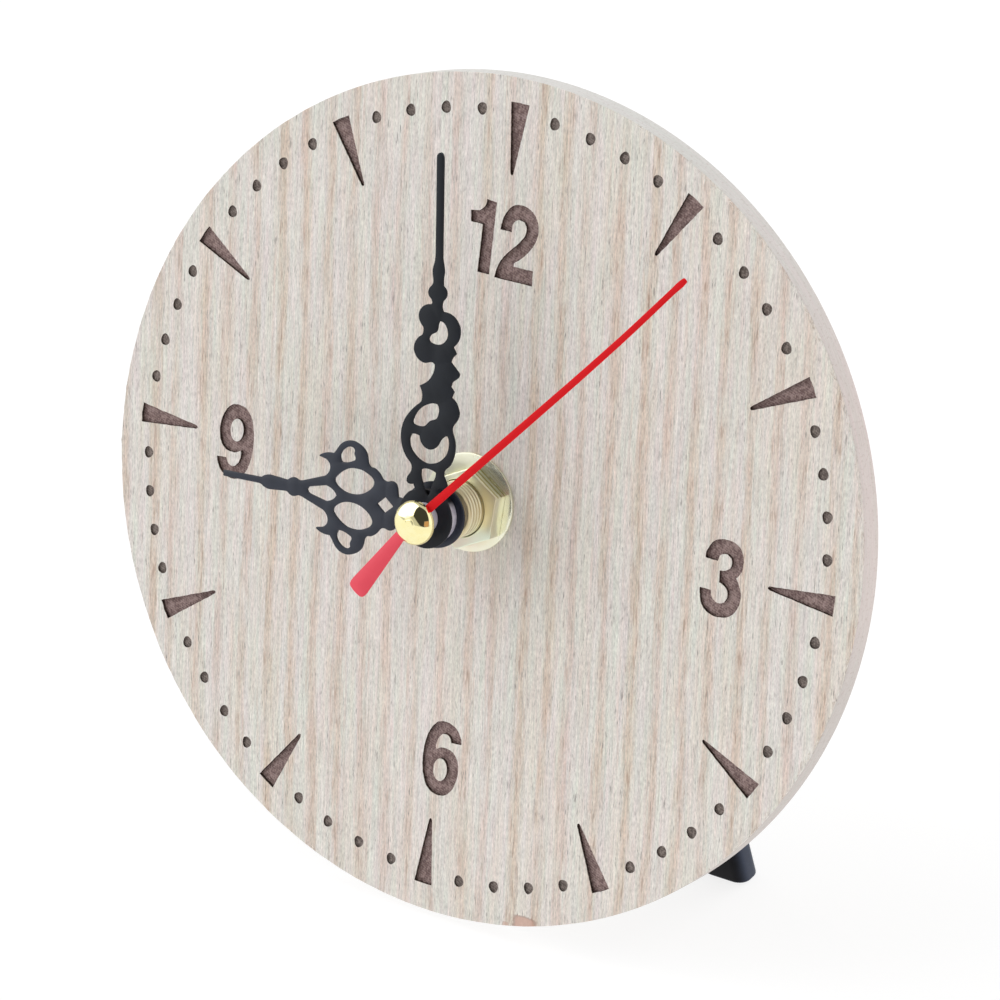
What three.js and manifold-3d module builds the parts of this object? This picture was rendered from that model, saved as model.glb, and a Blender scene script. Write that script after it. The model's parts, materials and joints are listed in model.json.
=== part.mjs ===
// Small round desk clock: a wood-veneered disc dial that leans back on a two-legged stand,
// with a battery quartz movement behind it and pierced hands in front.
// Millimetres, +Z up, dial towards -Y, +X to the viewer's right.
import * as THREE from "three";
import { mergeVertices } from "three/addons/utils/BufferGeometryUtils.js";
import Module from "manifold-3d";

const wasm = await Module();
wasm.setup();

// ---------------------------------------------------------------- driving dimensions
const DIAL_R = 60; // disc radius
const DIAL_SIDES = 96;
const DISC_X = 0.34, DISC_Z = -0.355; // centre of the disc off the shaft that the marks are drawn round
const BOARD_T = 4.5; // core and face together
const FACE_T = 0.9; // face veneer
const MARK_DEPTH = 0.5; // burnt-in marks
const LEAN = 13.28; // degrees that the dial leans back
const GAP = 0.05; // between pieces that touch
const BORE_R = 4.2; // hole for the threaded bush

const MARKS_AT = [0.08, -0.05]; // middle of the ring of marks off the shaft
const DOT_RING_R = 54.78, DOT_R = 0.8, DOT_SIDES = 6;
const WEDGE_TIP_R = 46.6, WEDGE_BASE_R = 56.5, WEDGE_TIP_W = 0.24, WEDGE_BASE_W = 1.44;
// each wedge is a little off its place in the ring, as burnt by hand: [right, up], clockwise from the top
const WEDGE_OFF = [[0.07, -0.21], [0.04, -0.15], [0.02, -0.24], [0.05, -0.11], [-0.04, -0.08], [0, -0.15], [-0.03, 0.02], [0.08, -0.19], [-0.02, -0.1], [0.2, -0.08], [0.14, -0.16], [0.15, -0.18]];

const GASKET_T = 0.6, GASKET_R = 9;
const STAND_T = 1.5; // stand plate
const LEG_X0 = 28.7, LEG_X1 = 36.1; // inner and outer side of a leg
const LEG_DEPTH = 5; // level depth of a leg
const LEG_CORNER = 1.8, FOOT_ROUND = 0.65; // upright edges of a leg, lower edge of a foot
const LEG_LEAN = 22; // degrees that a leg leans forward going up
const FOOT_BEHIND = 26.2; // front of the feet behind the disc's contact line

const CASE_HALF = 28, CASE_WALL = 1.4, CASE_DEPTH = 16.45;
const BUSH_R = 3.95, BUSH_BORE_R = 2.75, BUSH_FRONT = 6.6; // front end above the dial
const WASHER_R = 6.97, WASHER_BORE_R = 4.32, WASHER_T = 0.5, WASHER_AT = [0.1, 0.2]; // loose on the bush, so a little off its axis
const NUT_R = 5.84, NUT_T = 2.3, NUT_TURN = -2, NUT_AT = [0.5, -0.32]; // corner radius, height, degrees, middle of the hexagon
const HOUR_TUBE_R = 2.6, CANNON_R = 1.6, ARBOR_R = 0.7;

// heights above the dial face
const HOUR_H = 9.25, HOUR_T = 0.35, HOUR_AZ = 265.85, HOUR_HUB_R = 4.62;
const MINUTE_H = 11.45, MINUTE_T = 0.35, MINUTE_AZ = -4.7, MINUTE_HUB_R = 4.22;
const SECOND_H = 14.05, SECOND_T = 0.3, SECOND_AZ = 40.9, SECOND_TAIL_KINK = 8.4;
const CAP_R = 3.08, CAP_H = 14.4, CAP_RISE = 1.65;

// gear train: [teeth, module]
const HOUR_WHEEL = [40, 0.44], MOTION_PINION = [10, 0.44];
const MOTION_WHEEL = [36, 0.45833], CANNON_PINION = [12, 0.45833];
const CENTRE_WHEEL = [64, 0.3], THIRD_PINION = [8, 0.3];
const THIRD_WHEEL = [60, 0.317647], SECONDS_PINION = [8, 0.317647];
const SECONDS_WHEEL = [48, 0.4], INTER_PINION = [8, 0.4];
const INTER_WHEEL = [40, 0.38], ROTOR_PINION = [8, 0.38];
const dist = (a, b) => ((a[0] + b[0]) * a[1]) / 2;
const MOTION_DIR = 30, THIRD_DIR = 150, INTER_DIR = 90, ROTOR_DIR = 135; // degrees from +X

const BATTERY_R = 7.1, BATTERY_LEN = 50, BATTERY_Y = 15.35, BATTERY_Z = -18.9;
const COIL_X0 = 9, COIL_X1 = 24, COIL_Z = 20.5, COIL_Y = 16.5;

// ---------------------------------------------------------------- helpers
const rad = (d) => (d * Math.PI) / 180;
const polar = (r, deg) => [r * Math.cos(rad(deg)), r * Math.sin(rad(deg))];

// a closed solid from a geometry, faces turned outwards
function solid(geometry) {
  let g = geometry.index ? geometry.toNonIndexed() : geometry.clone();
  for (const k of Object.keys(g.attributes)) if (k !== "position") g.deleteAttribute(k);
  g = mergeVertices(g, 1e-4);
  const p = g.attributes.position.array, idx = [];
  const src = g.index.array;
  for (let i = 0; i < src.length; i += 3)
    if (src[i] !== src[i + 1] && src[i + 1] !== src[i + 2] && src[i] !== src[i + 2])
      idx.push(src[i], src[i + 1], src[i + 2]);
  let v = 0;
  const A = new THREE.Vector3(), B = new THREE.Vector3(), C = new THREE.Vector3();
  for (let i = 0; i < idx.length; i += 3) {
    A.fromArray(p, 3 * idx[i]); B.fromArray(p, 3 * idx[i + 1]); C.fromArray(p, 3 * idx[i + 2]);
    v += A.dot(B.cross(C));
  }
  if (v < 0) for (let i = 0; i < idx.length; i += 3) [idx[i + 1], idx[i + 2]] = [idx[i + 2], idx[i + 1]];
  return new wasm.Manifold(new wasm.Mesh({ numProp: 3, vertProperties: new Float32Array(p), triVerts: new Uint32Array(idx) }));
}
function geometryOf(s) {
  const m = s.getMesh(), n = m.numProp, v = new Float32Array(m.numVert * 3);
  for (let i = 0; i < m.numVert; i++) for (let k = 0; k < 3; k++) v[3 * i + k] = m.vertProperties[n * i + k];
  return new THREE.BufferGeometry()
    .setAttribute("position", new THREE.BufferAttribute(v, 3))
    .setIndex(new THREE.BufferAttribute(new Uint32Array(m.triVerts), 1));
}
// an outline in the dial plane (x, z), with holes, as a slab from y0 to y1
function slab(points, y0, y1, holes = []) {
  const shape = new THREE.Shape(points.map(([x, z]) => new THREE.Vector2(x, z)));
  for (const h of holes) shape.holes.push(new THREE.Path(h.map(([x, z]) => new THREE.Vector2(x, z))));
  const g = new THREE.ExtrudeGeometry(shape, { depth: y1 - y0, bevelEnabled: false, steps: 1 });
  return solid(g.rotateX(Math.PI / 2).translate(0, y1, 0));
}
const ring = (r, n, cx = 0, cz = 0, turn = 0) =>
  Array.from({ length: n }, (_, i) => {
    const a = rad(turn) + (2 * Math.PI * i) / n;
    return [cx + r * Math.cos(a), cz + r * Math.sin(a)];
  });
// a turned piece about the Y direction through (cx, cz): profile of [radius, y], closed on itself or on the axis
function turned(profile, n = 24, cx = 0, cz = 0) {
  const closed = profile[0][0] > 0 ? [...profile, profile[0]] : profile;
  return solid(new THREE.LatheGeometry(closed.map(([r, y]) => new THREE.Vector2(r, y)), n).translate(cx, 0, cz));
}
const rod = (r, y0, y1, n = 16, cx = 0, cz = 0) => turned([[0, y0], [r, y0], [r, y1], [0, y1]], n, cx, cz);
const tube = (r0, r1, y0, y1, n = 24, cx = 0, cz = 0) => turned([[r0, y0], [r1, y0], [r1, y1], [r0, y1]], n, cx, cz);
const box = (x0, x1, y0, y1, z0, z1) =>
  solid(new THREE.BoxGeometry(x1 - x0, y1 - y0, z1 - z0).translate((x0 + x1) / 2, (y0 + y1) / 2, (z0 + z1) / 2));
function roundedRect(x0, x1, z0, z1, r, n = 5) {
  const out = [];
  for (const [cx, cz, a] of [[x1 - r, z1 - r, 0], [x0 + r, z1 - r, 90], [x0 + r, z0 + r, 180], [x1 - r, z0 + r, 270]])
    for (let i = 0; i < n; i++) {
      const [px, pz] = polar(r, a + (90 * i) / (n - 1));
      out.push([cx + px, cz + pz]);
    }
  return out;
}
// a closed solid through rings of equal point count, each ring convex
function loft(rings) {
  const n = rings[0].length, pos = [], top = rings[rings.length - 1];
  const tri = (a, b, c) => pos.push(...a, ...b, ...c);
  for (let k = 0; k + 1 < rings.length; k++)
    for (let i = 0; i < n; i++) {
      const j = (i + 1) % n, a = rings[k], b = rings[k + 1];
      tri(a[i], a[j], b[j]);
      tri(a[i], b[j], b[i]);
    }
  for (let i = 1; i + 1 < n; i++) {
    tri(rings[0][0], rings[0][i + 1], rings[0][i]);
    tri(top[0], top[i], top[i + 1]);
  }
  return solid(new THREE.BufferGeometry().setAttribute("position", new THREE.BufferAttribute(new Float32Array(pos), 3)));
}
// gear outline: pointed teeth with straight flanks and free play; phase is the direction of one tooth's middle
function gear([n, m], phase, cx = 0, cz = 0) {
  const r = (n * m) / 2, p = Math.PI * m, small = n < 16;
  const ra = r + 0.8 * m, rr = r - 1.2 * m;
  const root = (small ? 0.36 : 0.46) * p;
  const out = [];
  for (let i = 0; i < n; i++) {
    const c = rad(phase) + (2 * Math.PI * i) / n;
    for (const [q, w] of [[rr, -root], [ra, 0], [rr, root]]) {
      const a = c + w / 2 / q;
      out.push([cx + q * Math.cos(a), cz + q * Math.sin(a)]);
    }
  }
  return out;
}
// phase of gear b so that it meshes with gear a of the given phase, b lying in direction dir from a
function meshPhase(a, phaseA, b, dir) {
  const fa = (((dir - phaseA) / (360 / a[0])) % 1 + 1) % 1;
  return dir + 180 - (0.5 - fa) * (360 / b[0]);
}

// ---------------------------------------------------------------- scene graph
const clock = new THREE.Group(); // dial frame: X right, Y into the board, Z up the dial, front face at y = 0
const material = (color, roughness, metalness) => new THREE.MeshStandardMaterial({ color, roughness, metalness });
function put(name, s, [color, roughness, metalness], parent = clock) {
  const mesh = new THREE.Mesh(geometryOf(s), material(color, roughness, metalness));
  mesh.name = name;
  parent.add(mesh);
  return mesh;
}
const WOOD = [0xd6d0c8, 0.65, 0], CORE = [0xd6cbc4, 0.75, 0], BLACK = [0x1d1e26, 0.45, 0], HAND = [0x262830, 0.35, 0.1];
const BRASS = [0xe6d79a, 0.22, 1], STEEL = [0xb9b7c2, 0.25, 1], RED = [0xd4222a, 0.3, 0.1], RUBBER = [0x23221f, 0.85, 0];
const WHITE = [0xe6e4dc, 0.5, 0], AMBER = [0xd8cfae, 0.45, 0], COPPER = [0xb5652f, 0.35, 0.9], BOARD = [0x2f6b3a, 0.5, 0];

// ---- dial: plywood core, and a face veneer with the marks sunk into it
const dialEdge = ring(DIAL_R, DIAL_SIDES, DISC_X, DISC_Z, 180 / DIAL_SIDES - 90);
put("dial_core", slab(dialEdge, FACE_T + GAP, BOARD_T, [ring(BORE_R, 24)]), CORE);

const U = 1.0144; // numerals are drawn on a 54-unit mark ring
const scaled = (pts) => pts.map(([x, z]) => [x * U, z * U]);
const NUMERAL_1 = scaled([[-3.2, 41.8], [-1.65, 41.7], [-1.5, 31.8], [-3.35, 31.8], [-3.4, 38.35], [-5.25, 38.35], [-5.5, 39.9], [-4.1, 40.1], [-3.3, 41.0]]);
const NUMERAL_2 = scaled([[-0.6, 38.2], [-0.5, 39.2], [0.1, 40.8], [1.0, 41.8], [2.2, 42.05], [3.5, 41.8], [4.5, 41.0], [5.1, 39.9], [5.25, 38.6], [4.9, 37.3], [4.2, 36.1], [3.2, 35.0], [2.1, 34.1], [2.1, 33.65], [5.15, 33.65], [5.3, 31.6], [-0.6, 31.6], [-0.5, 32.6], [-0.1, 33.8], [0.6, 34.9], [1.6, 36.0], [2.7, 37.2], [3.3, 38.2], [3.35, 39.2], [2.9, 39.9], [2.1, 40.05], [1.5, 39.7], [1.2, 39.1], [1.2, 38.2]]);
const NUMERAL_3 = scaled([[36.45, 1.65], [36.4, 2.0], [36.8, 3.3], [37.4, 4.2], [38.2, 4.6], [39.2, 4.75], [40.3, 4.65], [41.2, 4.2], [41.8, 3.3], [42.05, 2.0], [41.95, 1.0], [41.4, 0.0], [41.8, -0.8], [42.3, -2.0], [42.3, -3.2], [41.9, -4.4], [41.2, -5.3], [40.0, -5.8], [38.5, -5.85], [37.4, -5.4], [36.6, -4.4], [36.3, -3.2], [36.2, -2.5], [37.9, -2.5], [38.0, -3.1], [38.4, -3.7], [39.0, -4.0], [39.7, -3.9], [40.2, -3.4], [40.4, -2.7], [40.2, -2.0], [39.7, -1.5], [38.9, -1.2], [38.75, 0.4], [39.6, 0.6], [40.2, 1.0], [40.4, 1.7], [40.2, 2.4], [39.6, 2.8], [39.0, 2.75], [38.5, 2.4], [38.3, 1.8], [38.25, 1.6]]);
const SIX = [[3.35, -34.0], [3.0, -33.0], [2.3, -32.1], [1.4, -31.65], [0.4, -31.5], [-0.6, -31.75], [-1.4, -32.5], [-2.0, -33.6], [-2.4, -35.0], [-2.55, -36.5], [-2.5, -38.2], [-2.2, -39.8], [-1.6, -41.2], [-0.8, -42.0], [0.4, -42.3], [1.6, -42.1], [2.5, -41.3], [3.1, -40.0], [3.35, -38.6], [3.25, -37.3], [2.8, -36.2], [2.0, -35.5], [1.0, -35.3], [0.2, -35.4], [-0.5, -35.8], [-0.6, -35.6], [-0.6, -34.8], [-0.3, -34.0], [0.2, -33.4], [0.8, -33.3], [1.3, -33.5], [1.6, -34.0], [1.75, -34.3], [3.35, -34.1]];
const SIX_EYE = ring(1, 14).map(([x, z]) => [0.45 + 1.1 * x, -38.6 + 1.65 * z]);
const turnSix = (pts) => pts.map(([x, z]) => [-39.025 - (x - 0.4), -0.6 - (z + 36.9)]);
const placed = (pts) => pts.map(([x, z]) => [x + MARKS_AT[0], z + MARKS_AT[1]]);
const pocket = (pts, holes = []) => slab(placed(pts), -1, MARK_DEPTH, holes.map(placed));
let marks = pocket(NUMERAL_1)
  .add(pocket(NUMERAL_2))
  .add(pocket(NUMERAL_3))
  .add(pocket(scaled(SIX), [scaled(SIX_EYE)]))
  .add(pocket(scaled(turnSix(SIX)), [scaled(turnSix(SIX_EYE))]));
for (let i = 0; i < 60; i++) {
  const a = 90 - 6 * i;
  if (i % 5) {
    const [x, z] = polar(DOT_RING_R, a);
    marks = marks.add(pocket(ring(DOT_R, DOT_SIDES, x, z, a)));
  } else {
    const off = WEDGE_OFF[i / 5];
    const at = (r, w) => {
      const [x, z] = polar(r, a), [nx, nz] = polar(w, a + 90);
      return [x + nx + off[0], z + nz + off[1]];
    };
    marks = marks.add(pocket([at(WEDGE_BASE_R, -WEDGE_BASE_W), at(WEDGE_BASE_R, WEDGE_BASE_W), at(WEDGE_TIP_R + 0.25, WEDGE_TIP_W), at(WEDGE_TIP_R, 0), at(WEDGE_TIP_R + 0.25, -WEDGE_TIP_W)]));
  }
}
put("dial_face", slab(dialEdge, 0, FACE_T, [ring(BORE_R, 24)]).subtract(marks), WOOD);

// ---- fixing on the shaft
const gasketY = BOARD_T + GAP, standY = gasketY + GASKET_T + GAP, caseY = standY + STAND_T + GAP;
put("rubber_gasket", tube(BORE_R, GASKET_R, gasketY, gasketY + GASKET_T, 24), RUBBER);
put("washer", tube(WASHER_BORE_R, WASHER_R, -GAP - WASHER_T, -GAP, 32, ...WASHER_AT), BRASS);
{
  const back = -GAP - WASHER_T - GAP, front = back - NUT_T;
  put("hex_nut", slab(ring(NUT_R, 6, ...NUT_AT, 30 + NUT_TURN), front, back, [ring(BUSH_R + 0.15, 24)]), BRASS);
}

// ---- stand: a plate held behind the dial, with two legs that run down and back
{
  const t = Math.tan(rad(LEAN)), c = Math.cos(rad(LEAN)), s = Math.sin(rad(LEAN));
  const low = DIAL_R * Math.cos(Math.PI / DIAL_SIDES) - DISC_Z; // the disc stands on one small flat of its rim
  // level ground coordinates (behind the contact line, height) to the dial frame
  const toDial = (behind, up) => [BOARD_T + behind * c - up * s, -low + behind * s + up * c];
  const lean = Math.tan(rad(LEG_LEAN)), topUp = 42;
  const levels = [[0, FOOT_ROUND], [0.293 * FOOT_ROUND, 0.293 * FOOT_ROUND], [FOOT_ROUND, 0], [topUp, 0]]; // [height, inset]
  const leg = (x0, x1) => {
    const whole = loft(levels.map(([up, q]) => {
      const f = FOOT_BEHIND - lean * up, r = Math.min(LEG_CORNER, LEG_DEPTH / 2 - q - 0.02);
      return roundedRect(x0 + q, x1 - q, f + q, f + LEG_DEPTH - q, r, 4).map(([x, behind]) => [x, ...toDial(behind, up)]);
    }));
    return whole.subtract(box(x0 - 1, x1 + 1, standY - 60, standY + 0.01, -80, 40)).subtract(box(x0 - 1, x1 + 1, standY, standY + 40, -14, 40));
  };
  const plate = slab(roundedRect(-LEG_X1, LEG_X1, -24, 12, 4), standY, standY + STAND_T, [ring(BORE_R, 24)]);
  // a rib where each leg leaves the plate
  const rib = (x0, x1) => box(x0, x1, standY, standY + STAND_T, -24, -8);
  const stand = plate.add(leg(LEG_X0, LEG_X1)).add(leg(-LEG_X1, -LEG_X0)).add(rib(LEG_X0, LEG_X1)).add(rib(-LEG_X1, -LEG_X0));
  put("stand_bracket", stand, BLACK);
}

// ---- movement: case, cover, bush, train plate
const inY = caseY + CASE_WALL, backY = caseY + CASE_DEPTH, coverY = backY - 1.5;
const inHalf = CASE_HALF - CASE_WALL;
const MOTION_AT = polar(dist(HOUR_WHEEL, MOTION_PINION), MOTION_DIR);
const THIRD_AT = polar(dist(CENTRE_WHEEL, THIRD_PINION), THIRD_DIR);
const INTER_AT = polar(dist(SECONDS_WHEEL, INTER_PINION), INTER_DIR);
const ROTOR_AT = polar(dist(INTER_WHEEL, ROTOR_PINION), ROTOR_DIR).map((v, i) => v + INTER_AT[i]);
const POSTS = [[-21, 1], [20.5, -2], [4.5, 21.5]];
const plateY = 19.3;
{
  const outer = slab(roundedRect(-CASE_HALF, CASE_HALF, -CASE_HALF, CASE_HALF, 3), caseY, backY);
  const inner = slab(roundedRect(-inHalf, inHalf, -inHalf, inHalf, 1.8), inY, backY + 1);
  let shell = outer.subtract(inner).add(box(-inHalf - 0.2, inHalf + 0.2, inY - 0.2, coverY - GAP, -11.1, -10.3));
  shell = shell.subtract(rod(BUSH_R + 0.15, caseY - 1, inY + 1, 24));
  for (const [x, z] of [THIRD_AT, INTER_AT, ROTOR_AT, MOTION_AT]) shell = shell.subtract(rod(0.85, inY - 0.8, inY + 0.5, 10, x, z));
  put("front_case", shell, BLACK);
}
{
  // the cover leaves the battery bay open; the setting stem comes out through a hole
  let cover = slab(roundedRect(-inHalf + 0.2, inHalf - 0.2, -11.0, inHalf - 0.2, 1.6), coverY, backY, [ring(1.1, 20, ...MOTION_AT)]);
  cover = cover.add(tube(6.4, 7.2, backY - 0.2, backY + 0.6, 24, ...MOTION_AT));
  put("back_cover", cover, BLACK);
}
put("threaded_bush", turned([[BUSH_BORE_R, inY + 0.45], [5.6, inY + 0.45], [5.6, inY + GAP], [BUSH_R, inY + GAP], [BUSH_R, -BUSH_FRONT + 0.35], [BUSH_R - 0.35, -BUSH_FRONT], [BUSH_BORE_R, -BUSH_FRONT]], 24), BRASS);
{
  const outline = [[-23, -1.5], [-23, 3.5], [-14, 12], [-11, 21], [-8, 22.8], [3, 23.8], [6.8, 23.2], [6.8, 19], [12, 12], [22.5, 1], [22.5, -4], [6, -8], [-6, -8]].reverse();
  const holes = [ring(ARBOR_R + 0.12, 12), ring(0.64, 10, ...THIRD_AT), ring(0.64, 10, ...INTER_AT), ring(0.64, 10, ...ROTOR_AT), ring(0.85, 12, ...MOTION_AT)];
  let plate = slab(outline, plateY, plateY + 0.8, holes);
  for (const [x, z] of POSTS) plate = plate.add(rod(1.3, inY + GAP, plateY + 0.2, 10, x, z)); // pillars that stand in the case
  put("train_plate", plate, WHITE);
}

// ---- hands: outlines in each hand's own frame, pointing up, turned to their place
const turnedHand = (deg) => {
  const g = new THREE.Group();
  g.rotation.y = rad(deg);
  clock.add(g);
  return g;
};
const arc = (r, a0, a1, n) => Array.from({ length: n }, (_, i) => polar(r, a0 + ((a1 - a0) * i) / (n - 1)));
const mirror = (pts) => pts.map(([x, z]) => [-x, z]).reverse();
{
  const half = [[1.4, 5.0], [1.45, 5.75], [2.1, 5.86], [2.75, 5.97], [3.2, 6.2], [3.45, 6.6], [3.48, 7.0], [3.3, 7.7], [3.38, 8.05], [4.3, 8.95], [4.8, 9.72], [4.95, 10.45], [5.3, 10.75], [6.0, 10.9], [6.75, 11.15], [7.4, 11.75], [7.9, 12.7], [8.08, 13.6], [7.8, 14.8], [7.25, 15.5], [6.45, 16.05], [5.85, 16.5], [5.8, 17.5], [5.55, 18.3], [5.22, 18.85], [5.05, 18.75], [4.95, 18.2], [4.8, 17.65], [4.5, 17.25], [4.0, 16.98], [3.5, 17.0], [2.75, 17.4], [2.4, 17.9], [1.3, 21.1], [1.1, 22.15], [1.3, 22.7], [1.33, 23.2], [1.15, 23.65], [0.86, 24.05], [0.82, 24.4], [1.03, 26.9], [0.8, 28.0], [0.47, 28.5], [0.45, 28.85], [0.42, 34.75], [0.32, 34.9]];
  const a0 = Math.atan2(4.45, 1.4) * (180 / Math.PI);
  const hub = arc(HOUR_HUB_R, 180 - a0, 360 + a0, 30).map(([x, z]) => [x, z - 0.26 * Math.max(0, -z / HOUR_HUB_R)]);
  const oval = [[4.3, 12.6], [4.2, 11.6], [3.85, 10.7], [3.4, 9.95], [2.95, 9.67], [2.45, 9.72], [1.95, 10.05], [1.35, 10.75], [0.78, 11.95], [0.6, 13.3], [0.75, 14.4], [1.0, 15.0], [1.5, 15.75], [1.95, 16.08], [2.4, 16.08], [3.1, 15.45], [3.8, 14.5], [4.2, 13.6]];
  const scroll = [[7.2, 13.9], [7.12, 13.3], [6.85, 13.05], [6.3, 13.12], [5.7, 12.88], [5.45, 12.95], [4.85, 14.65], [4.85, 15.05], [5.1, 15.24], [5.7, 15.37], [6.45, 15.05], [7.0, 14.4]];
  const kite = [[0, 15.72], [0.4, 16.0], [1.0, 17.0], [1.11, 17.54], [0.55, 20.0], [0.35, 20.45], [0, 20.62], [-0.35, 20.45], [-0.55, 20.0], [-1.11, 17.54], [-1.0, 17.0], [-0.4, 16.0]];
  const diamond = [[0, 6.45], [1.12, 7.72], [-0.05, 9.03], [-1.15, 7.75]];
  const g = turnedHand(HOUR_AZ);
  const y1 = -HOUR_H, y0 = y1 - HOUR_T;
  // the middle part lies a touch further out
  const out = (pts) => pts.map(([x, z]) => [x, z + 0.13 * Math.max(0, Math.min(1, (z - 5.2) / 2.5, (23 - z) / 4.5))]);
  put("hour_hand", slab([...hub, ...out(half), ...out(mirror(half))], y0, y1, [ring(3.0, 20), ...[oval, mirror(oval), scroll, mirror(scroll), kite, diamond].map(out)]), HAND, g);
  // collet: a sleeve riveted through the hand, a push fit on the hour tube
  put("hour_collet", turned([[HOUR_TUBE_R + 0.05, y0 - 1.45], [3.75, y0 - 1.45], [3.75, y0 - GAP], [2.9, y0 - GAP], [2.9, y1 + GAP], [3.3, y1 + GAP], [3.3, y1 + 1.6], [HOUR_TUBE_R + 0.05, y1 + 1.6]], 20), STEEL, g);
}
{
  const right = [[1.75, 3.6], [2.1, 4.3], [2.98, 4.35], [3.2, 4.56], [3.2, 5.0], [2.62, 6.3], [2.65, 6.7], [3.59, 7.82], [4.0, 8.8], [4.19, 9.76], [4.14, 10.98], [3.62, 12.96], [4.41, 14.27], [4.59, 14.92], [4.4, 15.7], [3.97, 16.49], [3.26, 17.06], [3.6, 17.9], [3.06, 18.5], [3.19, 19.0], [4.28, 20.17], [4.3, 20.49], [2.88, 21.88], [2.98, 22.22], [3.68, 23.08], [3.13, 23.94], [3.65, 24.5], [4.0, 25.19], [4.11, 26.1], [4.01, 26.76], [3.61, 27.46], [3.09, 28.01], [2.41, 28.36], [1.3, 28.54], [1.15, 28.84], [1.2, 29.95], [1.65, 30.53], [1.73, 31.18], [1.47, 31.71], [1.16, 31.99], [1.09, 32.35], [1.16, 34.08], [0.8, 35.94], [0.29, 48.81], [0.2, 49.4], [-0.02, 49.76], [-0.22, 49.85]];
  const left = [[-0.6, 49.7], [-0.83, 49.2], [-0.33, 36.8], [-0.38, 35.27], [-0.66, 34.02], [-0.56, 32.08], [-1.06, 31.46], [-1.2, 30.96], [-1.06, 30.44], [-0.58, 29.95], [-0.48, 29.53], [-0.57, 29.39], [-1.26, 29.24], [-1.86, 28.93], [-2.25, 28.5], [-2.47, 27.96], [-2.45, 27.2], [-2.07, 26.47], [-1.68, 26.02], [-1.65, 25.66], [-1.8, 25.06], [-2.34, 24.65], [-2.77, 24.12], [-3.04, 23.23], [-3.0, 22.71], [-2.73, 22.15], [-2.17, 21.55], [-1.28, 21.22], [0.16, 21.4], [0.38, 21.22], [0.39, 20.86], [0.17, 19.96], [-0.35, 19.09], [-1.84, 18.04], [-1.4, 17.04], [-1.36, 16.47], [-1.46, 15.97], [-2.23, 15.25], [-3.36, 14.04], [-3.91, 13.22], [-4.37, 11.94], [-4.47, 11.08], [-4.41, 10.21], [-4.03, 8.91], [-3.53, 8.05], [-2.5, 6.69], [-2.55, 6.19], [-3.19, 5.02], [-3.21, 4.56], [-2.98, 4.35], [-2.11, 4.36], [-1.75, 3.6]];
  const a0 = (Math.atan2(3.597, 1.75) * 180) / Math.PI;
  const hub = arc(MINUTE_HUB_R, 180 - a0, 360 + a0, 26).slice(1, -1);
  const bow = [[2.67, 11.71], [2.97, 11.63], [3.15, 11.22], [3.21, 10.25], [3.09, 9.64], [2.89, 9.15], [2.31, 8.44], [1.43, 7.83], [0.7, 7.59], [-0.02, 7.5], [-0.77, 7.65], [-1.89, 8.28], [-2.5, 8.85], [-2.78, 9.26], [-2.98, 9.9], [-3.02, 10.55], [-2.71, 11.24], [-1.95, 11.28], [-1.5, 11.15], [-1.24, 10.36], [-0.94, 9.96], [-0.41, 9.6], [0.35, 9.48], [0.73, 9.58], [1.24, 9.95], [2.06, 11.21]];
  const drop = [[0.68, 15.9], [1.12, 15.84], [1.31, 15.54], [1.3, 14.37], [1.18, 14.04], [-0.01, 13.36], [-0.82, 12.58], [-1.95, 12.47], [-2.56, 12.65], [-2.65, 12.97], [-2.45, 13.61], [-1.95, 14.49], [-1.51, 14.96], [-0.53, 15.57]];
  const loop = [[0.85, 27.23], [1.29, 27.16], [1.73, 26.87], [1.95, 26.56], [2.16, 26.06], [2.18, 25.19], [1.87, 24.6], [1.35, 24.17], [0.77, 23.97], [0.01, 23.99], [-0.58, 24.23], [-0.73, 24.51], [-0.55, 25.01], [0.46, 25.79], [0.71, 26.99]];
  const gapHole = [[-0.98, 6.5], [-0.7, 6.66], [1.0, 6.6], [1.4, 6.42], [1.36, 5.95], [0.95, 4.9], [0.66, 3.9], [0.46, 3.25], [0.28, 3.06], [0.08, 3.2], [-0.3, 3.85], [-0.65, 4.7], [-0.95, 5.7]];
  const g = turnedHand(MINUTE_AZ);
  const y1 = -MINUTE_H, y0 = y1 - MINUTE_T;
  put("minute_hand", slab([...hub, ...right, ...left], y0, y1, [ring(1.97, 18), bow, drop, loop, gapHole]), HAND, g);
  put("minute_collet", turned([[CANNON_R + 0.05, y0 - 1.3], [2.1, y0 - 1.3], [2.1, y0 - GAP], [1.9, y0 - GAP], [1.9, y1 + GAP], [2.2, y1 + GAP], [2.2, y1 + 0.65], [CANNON_R + 0.05, y1 + 0.65]], 18), STEEL, g);
}
{
  const kink = rad(SECOND_TAIL_KINK);
  // tail points along (along the tail, across it); the tail swings off the arm's line by the kink
  const tail = (d, w) => [-d * Math.sin(kink) * -1 + w * Math.cos(kink), -d * Math.cos(kink) + w * Math.sin(kink)];
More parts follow.
